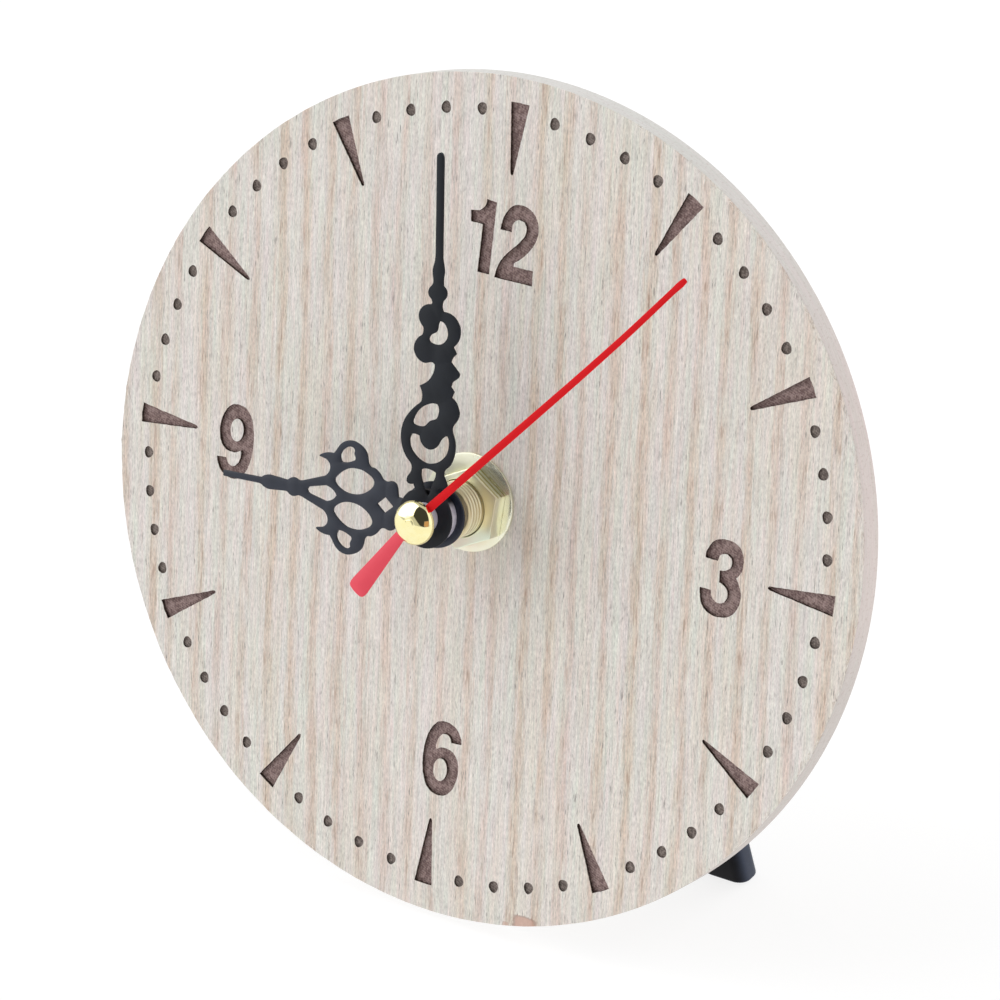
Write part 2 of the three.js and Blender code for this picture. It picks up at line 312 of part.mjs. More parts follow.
  // the thin arm is bowed a little to one side: [height, shift]
  const bowed = [[54.1, -0.06], [52, -0.04], [50, 0.02], [46, 0.14], [42, 0.23], [38, 0.25], [34, 0.26], [30, 0.24], [26, 0.21], [22, 0.17], [18, 0.13], [14, 0.09], [10, 0.05], [5.7, 0.02]];
  const armHalf = (z) => 0.39 + (0.2 * (54.1 - z)) / 51.9;
  const side = (k) => bowed.map(([z, dx]) => [dx + k * armHalf(z), z]);
  const edgeOfTail = [[3.4, 0.79], [13.6, 1.48], [14.1, 1.45], [14.5, 1.25], [14.68, 0.8]];
  const outline = [[0.03, 54.42], [-0.33, 54.42], ...side(-1), [-0.6, 2.2], [-1.1, 1.2], [-1.3, 0], tail(1.2, -1.0),
    ...edgeOfTail.map(([d, w]) => tail(d, -0.3 - w)), ...edgeOfTail.map(([d, w]) => tail(d, -0.3 + w)).reverse(),
    tail(1.2, 0.85), [1.3, 0], [1.1, 1.2], [0.62, 2.2], ...side(1).reverse()].reverse();
  const g = turnedHand(SECOND_AZ);
  const y1 = -SECOND_H, y0 = y1 - SECOND_T;
  put("second_hand", slab(outline, y0, y1), RED, g);
  put("second_tube", tube(ARBOR_R + 0.05, 1.25, y1 + GAP, y1 + 0.75, 16), STEEL, g);
  // domed cap with a small raised button
  const r = CAP_R, y = -CAP_H, dome = [[0, y]];
  dome.push([r - 0.1, y], [r, y - 0.12], [r, y - 0.3]);
  for (let i = 1; i <= 4; i++) {
    const a = rad(90 * (1 - i / 5.2));
    dome.push([r * Math.sin(a), y - 0.3 - CAP_RISE * 0.8 * Math.cos(a)]);
  }
  const top = y - 0.3 - CAP_RISE * 0.8;
  dome.push([0.62, top - 0.02], [0.55, top - 0.2], [0.3, top - 0.28], [0, top - 0.3]);
  put("centre_cap", turned(dome, 20), BRASS, g);
}

// ---- motion work: minute to hour, and the setting stem with its knob
const P0 = 0;
{
  const wheel = slab(gear(HOUR_WHEEL, P0), 8.8, 9.5, [ring(1.75, 20)]);
  put("hour_wheel", wheel.add(tube(1.75, HOUR_TUBE_R, -9.95, 9.3, 20)), WHITE);
}
{
  const pinion = slab(gear(CANNON_PINION, P0), 10.0, 10.8, [ring(0.85, 16)]);
  put("cannon_pinion", pinion.add(tube(0.85, CANNON_R, -12.95, 12.7, 16)), BRASS);
}
{
  const lowPhase = meshPhase(HOUR_WHEEL, P0, MOTION_PINION, MOTION_DIR);
  const highPhase = meshPhase(CANNON_PINION, P0, MOTION_WHEEL, MOTION_DIR);
  const s = slab(gear(MOTION_PINION, lowPhase, ...MOTION_AT), 8.75, 10.1)
    .add(slab(gear(MOTION_WHEEL, highPhase, ...MOTION_AT), 10.05, 10.75))
    .add(rod(0.7, inY - 0.7, 25.5, 10, ...MOTION_AT));
  put("motion_wheel", s, WHITE);
  // knurled knob pushed on the stem's end
  const grip = Array.from({ length: 40 }, (_, i) => polar(i % 2 ? 5.0 : 4.65, 9 * i).map((v, k) => v + MOTION_AT[k]));
  const knob = slab(grip, backY + 0.9, backY + 3.6).add(rod(4.2, backY + 0.35, backY + 1.0, 20, ...MOTION_AT)).subtract(rod(0.8, backY - 1, 25.6, 10, ...MOTION_AT));
  put("setting_knob", knob, BLACK);
}
put("clutch_spring", tube(CANNON_R + 0.1, 3.0, 11.0, 11.3, 16).add(tube(CANNON_R + 0.1, 2.1, 11.25, 11.5, 16)), STEEL);

// ---- going train: rotor to seconds to centre wheel
put("centre_wheel", slab(gear(CENTRE_WHEEL, P0), 11.6, 12.3, [ring(CANNON_R + 0.12, 16)]), AMBER);
{
  const s = slab(gear(THIRD_PINION, meshPhase(CENTRE_WHEEL, P0, THIRD_PINION, THIRD_DIR), ...THIRD_AT), 11.5, 13.3)
    .add(slab(gear(THIRD_WHEEL, meshPhase(SECONDS_PINION, P0, THIRD_WHEEL, THIRD_DIR), ...THIRD_AT), 13.2, 13.9))
    .add(rod(0.5, inY - 0.7, plateY + 0.7, 8, ...THIRD_AT));
  put("third_wheel", s, AMBER);
}
{
  const s = slab(gear(SECONDS_PINION, P0), 13.1, 14.6)
    .add(slab(gear(SECONDS_WHEEL, P0), 14.5, 15.2))
    .add(rod(ARBOR_R, -14.0, plateY + 0.7, 12));
  put("seconds_wheel", s, AMBER);
}
{
  const s = slab(gear(INTER_PINION, meshPhase(SECONDS_WHEEL, P0, INTER_PINION, INTER_DIR), ...INTER_AT), 14.4, 15.9)
    .add(slab(gear(INTER_WHEEL, P0, ...INTER_AT), 15.8, 16.4))
    .add(rod(0.5, inY - 0.7, plateY + 0.7, 8, ...INTER_AT));
  put("intermediate_wheel", s, AMBER);
}
{
  const s = slab(gear(ROTOR_PINION, meshPhase(INTER_WHEEL, P0, ROTOR_PINION, ROTOR_DIR), ...ROTOR_AT), 15.7, 16.5)
    .add(rod(1.0, 16.45, 16.8, 10, ...ROTOR_AT))
    .add(rod(0.5, inY - 0.7, plateY + 0.7, 8, ...ROTOR_AT));
  put("rotor_pinion", s, WHITE);
  put("rotor_magnet", tube(0.58, 2.6, 16.9, 18.8, 16, ...ROTOR_AT), STEEL);
}

// ---- motor and electronics
{
  const outline = [[-11.8, 14.2], [-1.2, 14.2], [2, 16.2], [8.2, 16.2], [8.2, 24.4], [24.6, 24.4], [24.6, 17.6], [26.2, 17.6], [26.2, 24.9], [24.9, 26.2], [-6.5, 26.2], [-11.8, 22]];
  put("stator", slab(outline, 17.6, 18.2, [ring(3.1, 20, ...ROTOR_AT), ring(1.5, 12, ...POSTS[2])]), STEEL);
  put("coil_core", box(6.0, 25.9, 16.9, 17.5, COIL_Z - 1.4, COIL_Z + 1.4), STEEL);
  const alongX = (profile, n) => {
    const closed = profile[0][0] > 0 ? [...profile, profile[0]] : profile;
    return solid(new THREE.LatheGeometry(closed.map(([r, x]) => new THREE.Vector2(r, x)), n).rotateZ(-Math.PI / 2).translate(0, COIL_Y, COIL_Z));
  };
  const slot = box(0, 40, 16.8, 17.6, COIL_Z - 1.5, COIL_Z + 1.5);
  const bobbin = alongX([[0, COIL_X0], [2.6, COIL_X0], [2.6, COIL_X0 + 0.8], [1.75, COIL_X0 + 0.8], [1.75, COIL_X1 - 0.8], [2.6, COIL_X1 - 0.8], [2.6, COIL_X1], [0, COIL_X1]], 16);
  put("coil_bobbin", bobbin.subtract(slot), WHITE);
  put("coil_winding", alongX([[1.8, COIL_X0 + 0.85], [2.5, COIL_X0 + 0.85], [2.5, COIL_X1 - 0.85], [1.8, COIL_X1 - 0.85]], 16).subtract(slot), COPPER);
  put("circuit_board", box(-25.6, -13, 16.5, 17.3, 9.5, 25.4), BOARD);
  put("quartz_crystal", solid(new THREE.CylinderGeometry(1, 1, 6, 12).rotateZ(Math.PI / 2).translate(-19.5, 18.4, 22.6)), STEEL);
  put("chip_cover", turned([[0, 17.35], [2.6, 17.35], [2.4, 17.9], [1.6, 18.35], [0, 18.55]], 12, -19.2, 15.5), BLACK);
}

// ---- battery and its contacts
{
  const along = (profile, n) => solid(new THREE.LatheGeometry(profile.map(([r, x]) => new THREE.Vector2(r, x)), n).rotateZ(-Math.PI / 2).translate(0, BATTERY_Y, BATTERY_Z));
  const h = BATTERY_LEN / 2;
  put("battery", along([[0, -h + 0.25], [5.6, -h + 0.25], [5.8, -h], [6.7, -h], [BATTERY_R, -h + 0.4], [BATTERY_R, h - 1.9], [6.7, h - 1.4], [2.75, h - 1.4], [2.65, h], [0, h]], 28), [0x3f6f52, 0.35, 0.2]);
  put("contact_positive", box(25.35, 25.65, 10.5, 20.2, -23, -14.8).add(box(25.6, 26.5, 11.5, 12.6, -23, -14.8)), STEEL);
  const spring = [[0, -25.8], [3.6, -25.8], [3.4, -25.65], [1.2, -25.25], [0, -25.2]];
  const dome = solid(new THREE.LatheGeometry(spring.map(([r, x]) => new THREE.Vector2(r, x)), 14).rotateZ(-Math.PI / 2).translate(0, BATTERY_Y, BATTERY_Z));
  put("contact_negative", box(-26.3, -25.6, 10.5, 20.2, -23, -14.8).add(dome), STEEL);
}

// ---------------------------------------------------------------- stand the clock on the ground
const desk_clock = new THREE.Group();
clock.rotation.x = -rad(LEAN);
clock.position.z = (DIAL_R * Math.cos(Math.PI / DIAL_SIDES) - DISC_Z) * Math.cos(rad(LEAN)) + BOARD_T * Math.sin(rad(LEAN));
desk_clock.add(clock);
desk_clock.updateMatrixWorld(true);
const extent = new THREE.Box3().setFromObject(desk_clock, true);
clock.position.y = -(extent.min.y + extent.max.y) / 2; // origin in the middle of the footprint
clock.position.x = -(extent.min.x + extent.max.x) / 2;

export default desk_clock;
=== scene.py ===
import json
import math
import random

import bmesh
import bpy
from mathutils import Matrix, Vector, noise
from mathutils.geometry import delaunay_2d_cdt


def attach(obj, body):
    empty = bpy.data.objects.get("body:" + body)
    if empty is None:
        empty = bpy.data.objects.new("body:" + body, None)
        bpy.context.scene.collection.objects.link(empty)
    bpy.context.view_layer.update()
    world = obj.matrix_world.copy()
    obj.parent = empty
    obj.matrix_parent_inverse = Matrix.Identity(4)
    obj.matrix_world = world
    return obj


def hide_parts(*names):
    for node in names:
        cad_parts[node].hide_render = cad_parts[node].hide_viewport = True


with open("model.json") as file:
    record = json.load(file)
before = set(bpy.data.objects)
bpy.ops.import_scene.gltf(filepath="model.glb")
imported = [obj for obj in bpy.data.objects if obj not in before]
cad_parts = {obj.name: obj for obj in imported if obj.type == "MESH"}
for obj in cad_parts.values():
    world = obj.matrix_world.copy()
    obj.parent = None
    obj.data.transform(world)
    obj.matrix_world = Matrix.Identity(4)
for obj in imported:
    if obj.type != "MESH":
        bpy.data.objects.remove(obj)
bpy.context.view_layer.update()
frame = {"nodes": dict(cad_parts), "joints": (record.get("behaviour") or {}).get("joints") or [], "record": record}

MM = 0.001
NODES = frame["nodes"]
BODY_OF = {n: b for b, ns in frame["record"]["behaviour"]["bodies"].items() for n in ns}

# The dial frame: X right, Y into the board, Z up the dial, origin on the shaft at the front face.
JOINT = {j["name"]: j for j in frame["joints"]}
CENTRE = Vector(JOINT["minute_turn"]["pos_m"])
INTO = Vector(JOINT["minute_turn"]["axis"])
LEAN = math.atan2(-INTO.z, INTO.y)
DIAL = Matrix.Translation(CENTRE) @ Matrix.Rotation(-LEAN, 4, "X")


def rad(d):
    return math.radians(d)


def polar(r, deg):
    return (r * math.cos(rad(deg)), r * math.sin(rad(deg)))


def srgb(r, g, b, a=1.0):
    def lin(v):
        v /= 255
        return v / 12.92 if v <= 0.04045 else ((v + 0.055) / 1.055) ** 2.4

    return (lin(r), lin(g), lin(b), a)


# ------------------------------------------------------------------ camera
# At the photograph's viewing point, worked out in the dial frame for a square image.
cam_data = bpy.data.cameras.new("camera")
cam = bpy.data.objects.new("camera", cam_data)
bpy.context.scene.collection.objects.link(cam)
cam_data.lens = 137.18
cam_data.sensor_width = 36
cam_data.clip_start, cam_data.clip_end = 0.02, 20
right, up, ahead = (0.84975, 0.51308, 0.12113), (-0.23751, 0.16747, 0.95684), (-0.47065, 0.84185, -0.26417)
pose = Matrix((
    (right[0], up[0], -ahead[0], 251.70 * MM),
    (right[1], up[1], -ahead[1], -441.83 * MM),
    (right[2], up[2], -ahead[2], 140.23 * MM),
    (0, 0, 0, 1),
))
cam.matrix_world = DIAL @ pose
bpy.context.scene.camera = cam
bpy.context.scene.view_settings.view_transform = "Standard"


# ------------------------------------------------------------------ material helpers
class Mat:
    """A node material under construction."""

    def __init__(self, name):
        self.mat = bpy.data.materials.new(name)
        self.mat.use_nodes = True
        self.t = self.mat.node_tree
        self.t.nodes.clear()
        self.out = self.t.nodes.new("ShaderNodeOutputMaterial")
        self.bsdf = self.t.nodes.new("ShaderNodeBsdfPrincipled")
        self.t.links.new(self.bsdf.outputs[0], self.out.inputs[0])

    def put(self, sock, v):
        if isinstance(v, bpy.types.NodeSocket):
            self.t.links.new(v, sock)
        else:
            sock.default_value = v

    def coords(self, rotation=(0, 0, 0), scale=1000.0):
        """Object coordinates in millimetres."""
        tc = self.t.nodes.new("ShaderNodeTexCoord")
        m = self.t.nodes.new("ShaderNodeMapping")
        m.inputs["Rotation"].default_value = rotation
        m.inputs["Scale"].default_value = (scale,) * 3
        self.t.links.new(tc.outputs["Object"], m.inputs["Vector"])
        return m.outputs[0]

    def xyz(self, v):
        n = self.t.nodes.new("ShaderNodeSeparateXYZ")
        self.put(n.inputs[0], v)
        return n.outputs[0], n.outputs[1], n.outputs[2]

    def vec(self, x=0.0, y=0.0, z=0.0):
        n = self.t.nodes.new("ShaderNodeCombineXYZ")
        for i, v in enumerate((x, y, z)):
            self.put(n.inputs[i], v)
        return n.outputs[0]

    def math(self, op, a, b=0.0, c=0.0, clamp=False):
        n = self.t.nodes.new("ShaderNodeMath")
        n.operation = op
        n.use_clamp = clamp
        for i, v in enumerate((a, b, c)):
            self.put(n.inputs[i], v)
        return n.outputs[0]

    def vmath(self, op, a, b=(0, 0, 0)):
        n = self.t.nodes.new("ShaderNodeVectorMath")
        n.operation = op
        self.put(n.inputs[0], a)
        self.put(n.inputs[1], b)
        return n.outputs["Value"] if op in ("LENGTH", "DOT_PRODUCT", "DISTANCE") else n.outputs[0]

    def scaled(self, v, s):
        n = self.t.nodes.new("ShaderNodeVectorMath")
        n.operation = "MULTIPLY"
        self.put(n.inputs[0], v)
        n.inputs[1].default_value = s
        return n.outputs[0]

    def noise(self, v, scale=1.0, detail=2.0, rough=0.5, distort=0.0):
        n = self.t.nodes.new("ShaderNodeTexNoise")
        self.put(n.inputs["Vector"], v)
        n.inputs["Scale"].default_value = scale
        n.inputs["Detail"].default_value = detail
        n.inputs["Roughness"].default_value = rough
        n.inputs["Distortion"].default_value = distort
        return n.outputs[0]

    def voronoi(self, v, scale=1.0, feature="F1"):
        n = self.t.nodes.new("ShaderNodeTexVoronoi")
        n.feature = feature
        self.put(n.inputs["Vector"], v)
        n.inputs["Scale"].default_value = scale
        return n.outputs[0]

    def lines(self, w, scale=1.0, randomness=0.85):
        """Unevenly spaced lines along one coordinate: (distance to the nearest, a number of its own)."""
        n = self.t.nodes.new("ShaderNodeTexVoronoi")
        n.voronoi_dimensions = "1D"
        self.put(n.inputs["W"], w)
        n.inputs["Scale"].default_value = scale
        n.inputs["Randomness"].default_value = randomness
        return n.outputs["Distance"], self.xyz(n.outputs["Color"])[0]

    def remap(self, v, a, b, lo=0.0, hi=1.0, smooth=True):
        n = self.t.nodes.new("ShaderNodeMapRange")
        n.interpolation_type = "SMOOTHSTEP" if smooth else "LINEAR"
        self.put(n.inputs[0], v)
        for i, x in enumerate((a, b, lo, hi)):
            n.inputs[1 + i].default_value = x
        return n.outputs[0]

    def mix(self, f, a, b, blend="MIX"):
        n = self.t.nodes.new("ShaderNodeMix")
        n.data_type = "RGBA"
        n.blend_type = blend
        self.put(n.inputs[0], f)
        self.put(n.inputs[6], a)
        self.put(n.inputs[7], b)
        return n.outputs[2]

    def bump(self, h, strength=0.2, distance=0.0001, normal=None):
        n = self.t.nodes.new("ShaderNodeBump")
        n.inputs["Strength"].default_value = strength
        n.inputs["Distance"].default_value = distance
        self.put(n.inputs["Height"], h)
        if normal is not None:
            self.put(n.inputs["Normal"], normal)
        return n.outputs[0]

    def finish(self, **sockets):
        for k, v in sockets.items():
            self.put(self.bsdf.inputs[k.replace("_", " ")], v)
        return self.mat


# ------------------------------------------------------------------ materials
GRAIN = rad(5.5)


def grain_coords(m):
    """(across the grain, along the grain, depth) in millimetres."""
    x, y, z = m.xyz(m.coords(rotation=(0, GRAIN, 0)))
    return x, z, y


def wood_face():
    m = Mat("wood_face")
    u, v, d = grain_coords(m)

    def streak(across, along, seed, detail=2.0, rough=0.5):
        """Noise drawn out along the grain: cells 1/across wide and 1/along long, in millimetres."""
        return m.noise(m.vec(m.math("MULTIPLY", u, across), m.math("MULTIPLY", v, along), seed), 1.0, detail, rough)

    def swing(n, k):
        return m.math("MULTIPLY", m.math("SUBTRACT", n, 0.5), k)

    # slow wander of the growth lines
    u2 = m.math("ADD", u, swing(streak(0.06, 0.02, 3.1), 3.2))
    u2 = m.math("ADD", u2, swing(streak(0.5, 0.05, 7.7), 0.9))
    # tan bands at nearly even spacing, each with a strength and tone of its own, broken along their length
    near, own = m.lines(u2, 0.238, 0.3)
    fray = streak(2.4, 0.12, 5.0, 3.0, 0.62)
    body = m.math("ADD", near, swing(fray, 0.5))
    line = m.math("MULTIPLY", m.remap(body, 0.31, 0.02), m.remap(own, 0.1, 0.9, 0.6, 1.0))
    line = m.math("MULTIPLY", line, m.remap(streak(0.5, 0.09, 12.3, 3.0), 0.3, 0.58, 0.35, 1.0))
    near2, own2 = m.lines(u2, 0.8, 0.9)
    thin = m.math("MULTIPLY", m.remap(m.math("ADD", near2, swing(fray, 0.6)), 0.24, 0.02), m.remap(own2, 0.3, 1.0, 0.0, 0.7))
    thin = m.math("MULTIPLY", thin, m.remap(streak(1.1, 0.1, 2.9), 0.36, 0.64, 0.1, 1.0))
    # pale wood drifting between greyish lilac, greenish and cream
    col = m.mix(m.remap(streak(0.7, 0.05, 9.2, 3.0, 0.55), 0.32, 0.68), srgb(229, 223, 220), srgb(225, 225, 217))
    col = m.mix(m.remap(streak(0.45, 0.03, 19.2, 2.0), 0.44, 0.68, 0.0, 0.4), col, srgb(230, 220, 207))
    col = m.mix(m.math("MULTIPLY", thin, 0.6), col, srgb(213, 197, 184))
    tan = m.mix(own, srgb(214, 188, 175), srgb(214, 197, 178))
    col = m.mix(m.math("MULTIPLY", line, 0.74), col, tan)
    # fine fibres, with a faint tint from one to the next
    fib = streak(3.1, 0.09, 0.3, 3.0, 0.6)
    fib2 = streak(5.2, 0.34, 2.3, 2.0, 0.55)
    grit = streak(5.6, 1.5, 41.0, 2.0, 0.6)
    shade = m.math("ADD", m.math("ADD", swing(fib, 0.42), swing(fib2, 0.55)), swing(grit, 0.78))
    col = m.mix(1.0, col, m.vec(*(m.math("ADD", 1.0, shade),) * 3), "MULTIPLY")
    tint = m.mix(m.remap(streak(2.2, 0.16, 21.7), 0.3, 0.7), (1.016, 0.986, 0.988, 1), (0.986, 1.01, 1.0, 1))
    col = m.mix(1.0, col, tint, "MULTIPLY")
    # short dark pores, brown dashes in the bands, and pale flecks
    pore = streak(4.6, 0.5, 6.1, 3.0, 0.6)
    where = streak(0.9, 0.14, 8.8)
    pores = m.math("MULTIPLY", m.remap(pore, 0.575, 0.72), m.remap(where, 0.36, 0.62, 0.15, 1.0))
    col = m.mix(m.math("MULTIPLY", pores, 0.84), col, srgb(142, 132, 130))
    dash = m.math("MULTIPLY", line, m.remap(streak(3.6, 0.3, 31.0, 2.0, 0.55), 0.54, 0.68))
    col = m.mix(m.math("MULTIPLY", dash, 0.75), col, srgb(172, 142, 124))
    col = m.mix(m.remap(streak(4.2, 0.4, 16.1), 0.64, 0.77, 0.0, 0.6), col, srgb(240, 238, 232))
    # a small brown knot at the lower edge, with a darker line round it, and a speck beside it
    px, _, pz = m.xyz(m.coords())
    for (kx, kz), (rx, rz), depth in (((17.1, -57.55), (1.65, 1.0), 0.75), ((14.15, -58.45), (0.45, 0.35), 0.5)):
        away = m.math("SQRT", m.math("ADD", m.math("POWER", m.math("DIVIDE", m.math("SUBTRACT", px, kx), rx), 4.0), m.math("POWER", m.math("DIVIDE", m.math("SUBTRACT", pz, kz), rz), 4.0)))
        away = m.math("ADD", away, swing(grit, 1.6))
        col = m.mix(m.remap(away, 1.25, 0.8, 0.0, depth), col, srgb(206, 165, 148))
        outline = m.math("MULTIPLY", m.remap(away, 0.7, 1.05), m.remap(away, 1.6, 1.15))
        col = m.mix(m.math("MULTIPLY", outline, 0.7 * depth), col, srgb(152, 120, 108))
    height = m.math("ADD", m.math("MULTIPLY", fib, 0.6), m.math("MULTIPLY", fib2, 0.6))
    height = m.math("SUBTRACT", height, m.math("MULTIPLY", pores, 1.2))
    return m.finish(Base_Color=col, Roughness=m.remap(fib, 0.3, 0.7, 0.6, 0.76), Specular_IOR_Level=0.25, Normal=m.bump(height, 0.35, 0.00012))


def burnt(name, low, high, speck):
    """Scorched bottom or side of a sunk mark: mottled, with fine scan lines and darker specks; the darker colours given
    for the sides also hold painted shade.
    """
    m = Mat(name)
    u, v, d = grain_coords(m)
    p = m.vec(u, v, d)
    big = m.noise(p, 0.9, 3.0, 0.6)
    small = m.noise(m.vec(m.math("MULTIPLY", u, 3.8), m.math("MULTIPLY", v, 2.4), d), 1.0, 3.0, 0.65)
    scan = m.math("SINE", m.math("MULTIPLY", m.math("ADD", v, m.math("MULTIPLY", u, 0.45)), 17.0))
    tone = m.math("ADD", m.math("MULTIPLY", big, 0.3), m.math("MULTIPLY", small, 0.7))
    tone = m.math("ADD", tone, m.math("MULTIPLY", scan, 0.03))
    col = m.mix(m.remap(tone, 0.38, 0.62), low, high)
    char = m.noise(p, 4.5, 2.0, 0.6)
    col = m.mix(m.remap(char, 0.58, 0.74, 0.0, 0.6), col, speck)
    h = m.math("ADD", small, m.math("MULTIPLY", scan, 0.12))
    return m.finish(Base_Color=col, Roughness=0.9, Specular_IOR_Level=0.15, Normal=m.bump(h, 0.6, 0.00015))


def wood_edge():
    """Sawn edge of the board: pale, faintly pink, with thin layers and saw marks."""
    m = Mat("wood_edge")
    x, y, z = m.xyz(m.coords())
    ang = m.math("ARCTAN2", z, x)
    layer = m.noise(m.vec(m.math("MULTIPLY", ang, 3.0), m.math("MULTIPLY", y, 1.6), 0.0), 1.0, 2.0)
    fibre = m.noise(m.vec(m.math("MULTIPLY", ang, 150.0), m.math("MULTIPLY", y, 1.3), 3.0), 1.0, 4.0, 0.65)
    along = m.noise(m.vec(m.math("MULTIPLY", ang, 22.0), m.math("MULTIPLY", y, 7.0), 6.0), 1.0, 3.0, 0.6)
    col = m.mix(m.remap(layer, 0.35, 0.65), srgb(219, 206, 203), srgb(213, 204, 199))
    col = m.mix(m.remap(along, 0.4, 0.72, 0.0, 0.7), col, srgb(229, 221, 216))
    col = m.mix(m.remap(fibre, 0.5, 0.74, 0.0, 0.6), col, srgb(190, 173, 165))
    # greyer and bluer towards the top, darker low down
    col = m.mix(m.remap(z, 26.0, 58.0, smooth=False), col, m.mix(1.0, col, (1.03, 1.13, 1.14, 1), "MULTIPLY"))
    col = m.mix(m.remap(z, 4.0, -14.0), col, m.mix(1.0, col, (0.895, 0.93, 0.925, 1), "MULTIPLY"))
    return m.finish(Base_Color=col, Roughness=0.78, Specular_IOR_Level=0.2, Normal=m.bump(m.math("ADD", fibre, along), 0.3, 0.0001))


def wood_back():
    m = Mat("wood_back")
    u, v, d = grain_coords(m)
    f = m.noise(m.vec(m.math("MULTIPLY", u, 2.0), m.math("MULTIPLY", v, 0.06), 2.0), 1.0, 4.0, 0.6)
    w = m.math("SINE", m.math("ADD", m.math("MULTIPLY", u, 0.9), m.math("MULTIPLY", f, 7.0)))
    col = m.mix(m.remap(w, -0.6, 1.0), srgb(217, 204, 190), srgb(201, 180, 160))
    p = m.noise(m.vec(m.math("MULTIPLY", u, 6.0), m.math("MULTIPLY", v, 0.5), 5.0), 1.0, 2.0)
    col = m.mix(m.remap(p, 0.62, 0.76, 0.0, 0.5), col, srgb(140, 115, 98))
    return m.finish(Base_Color=col, Roughness=0.8, Specular_IOR_Level=0.2, Normal=m.bump(m.math("ADD", f, p), 0.3, 0.0001))


def fibre_pale():
    m = Mat("fibre_pale")
    n = m.noise(m.coords(), 2.0, 2.0)
    return m.finish(Base_Color=m.mix(m.remap(n, 0.35, 0.65), srgb(246, 243, 238), srgb(228, 219, 210)), Roughness=0.7, Specular_IOR_Level=0.3)


def metal(name, colour, dark, rough, turned=0.0, scratches=0.25, bump=0.05, metallic=1.0, tan_side=None, groove=None, sheen=False):
    """Plated metal: slight tone drift, fine scratches, turning marks where it was lathe cut, painted shade in a
    thread's grooves, and an end face tan on one side, with a pale painted reflection of the floor along its bottom and
    dark stripes across one flat.
    """
    m = Mat(name)
    p = m.coords()
    x, y, z = m.xyz(p)
    r = m.vmath("LENGTH", m.vec(x, 0.0, z))
    drift = m.noise(p, 0.7, 2.0)
    ringed = m.noise(m.vec(m.math("MULTIPLY", r, 16.0), m.math("MULTIPLY", y, 16.0), 0.0), 1.0, 3.0, 0.6)
    rub = m.noise(m.scaled(p, (9.0, 9.0, 1.2)), 1.0, 3.0, 0.6, 0.6)
    col = m.mix(m.remap(drift, 0.35, 0.65, 0.0, 0.35), colour, dark)
    if groove:
        # painted shade: the thread darker towards the roots of its grooves
        groove_shade = m.remap(m.vmath("LENGTH", m.vec(m.math("SUBTRACT", x, 0.22), 0.0, m.math("ADD", z, 0.15))), 3.93, 3.83)
        col = m.mix(m.math("MULTIPLY", groove_shade, 0.6), col, groove)
    if tan_side:
        # tan on the right of the front face, fading low down
        patch = m.math("MULTIPLY", m.remap(m.math("ADD", x, m.math("MULTIPLY", drift, 1.5)), 2.9, 4.9), m.remap(y, -2.95, -3.08))
        patch = m.math("MULTIPLY", patch, m.remap(z, -4.2, -2.2))
        col = m.mix(m.math("MULTIPLY", patch, 0.4), col, tan_side)
        # painted reflection of the bright floor: pale, faintly green colour along the bottom of the front face
        low = m.math("MULTIPLY", m.remap(z, -1.0, -3.4), m.remap(y, -2.95, -3.08))
        col = m.mix(m.math("MULTIPLY", low, 0.9), col, srgb(234, 247, 226))
        # dark olive stripes across the upper-right flat
        drawn = m.remap(m.math("SINE", m.math("ADD", m.math("MULTIPLY", y, 7.2), m.math("MULTIPLY", drift, 2.0))), -0.1, 0.6)
        drawn = m.math("MULTIPLY", drawn, m.math("MULTIPLY", m.remap(z, 2.35, 2.7), m.remap(y, -3.16, -3.08)))
        col = m.mix(m.math("MULTIPLY", drawn, 0.8), col, srgb(186, 175, 98))
    rr = m.math("ADD", rough, m.math("MULTIPLY", m.math("SUBTRACT", rub, 0.5), scratches))
    rr = m.math("ADD", rr, m.math("MULTIPLY", m.math("SUBTRACT", ringed, 0.5), turned * 0.3))
    if sheen:
        k = m.remap(m.math("ADD", x, m.math("MULTIPLY", z, 0.5)), 2.6, 5.2)
        rr = m.math("SUBTRACT", rr, m.math("MULTIPLY", k, 0.13))
        metallic = m.remap(k, 0.0, 1.0, metallic, 0.74, smooth=False)
    h = m.math("ADD", m.math("MULTIPLY", ringed, turned), m.math("MULTIPLY", rub, 0.3))
    return m.finish(Base_Color=col, Metallic=metallic, Roughness=m.math("MAXIMUM", rr, 0.04), Normal=m.bump(h, bump, 0.00005))


def collet(name, colour, drift_to, painted_shade):
    """Turned sleeve, satin on its side, with painted shade along its top where the minute hub shades it."""
    m = Mat(name)
    p = m.coords()
    x, y, z = m.xyz(p)
    drift = m.noise(p, 0.7, 2.0)
    ringed = m.noise(m.vec(m.math("MULTIPLY", y, 14.0), m.math("MULTIPLY", m.vmath("LENGTH", m.vec(x, 0.0, z)), 14.0), 0.0), 1.0, 3.0, 0.6)
    col = m.mix(m.remap(drift, 0.35, 0.65), colour, drift_to)
    # painted shade: the sleeve's top blends into the shade colour
    col = m.mix(m.remap(m.math("ADD", z, m.math("MULTIPLY", drift, 0.4)), 1.9, 2.9), col, painted_shade)
    rr = m.math("ADD", 0.46, m.math("MULTIPLY", m.math("SUBTRACT", ringed, 0.5), 0.15))
    return m.finish(Base_Color=col, Metallic=0.35, Roughness=rr, Normal=m.bump(ringed, 0.05, 0.00005))


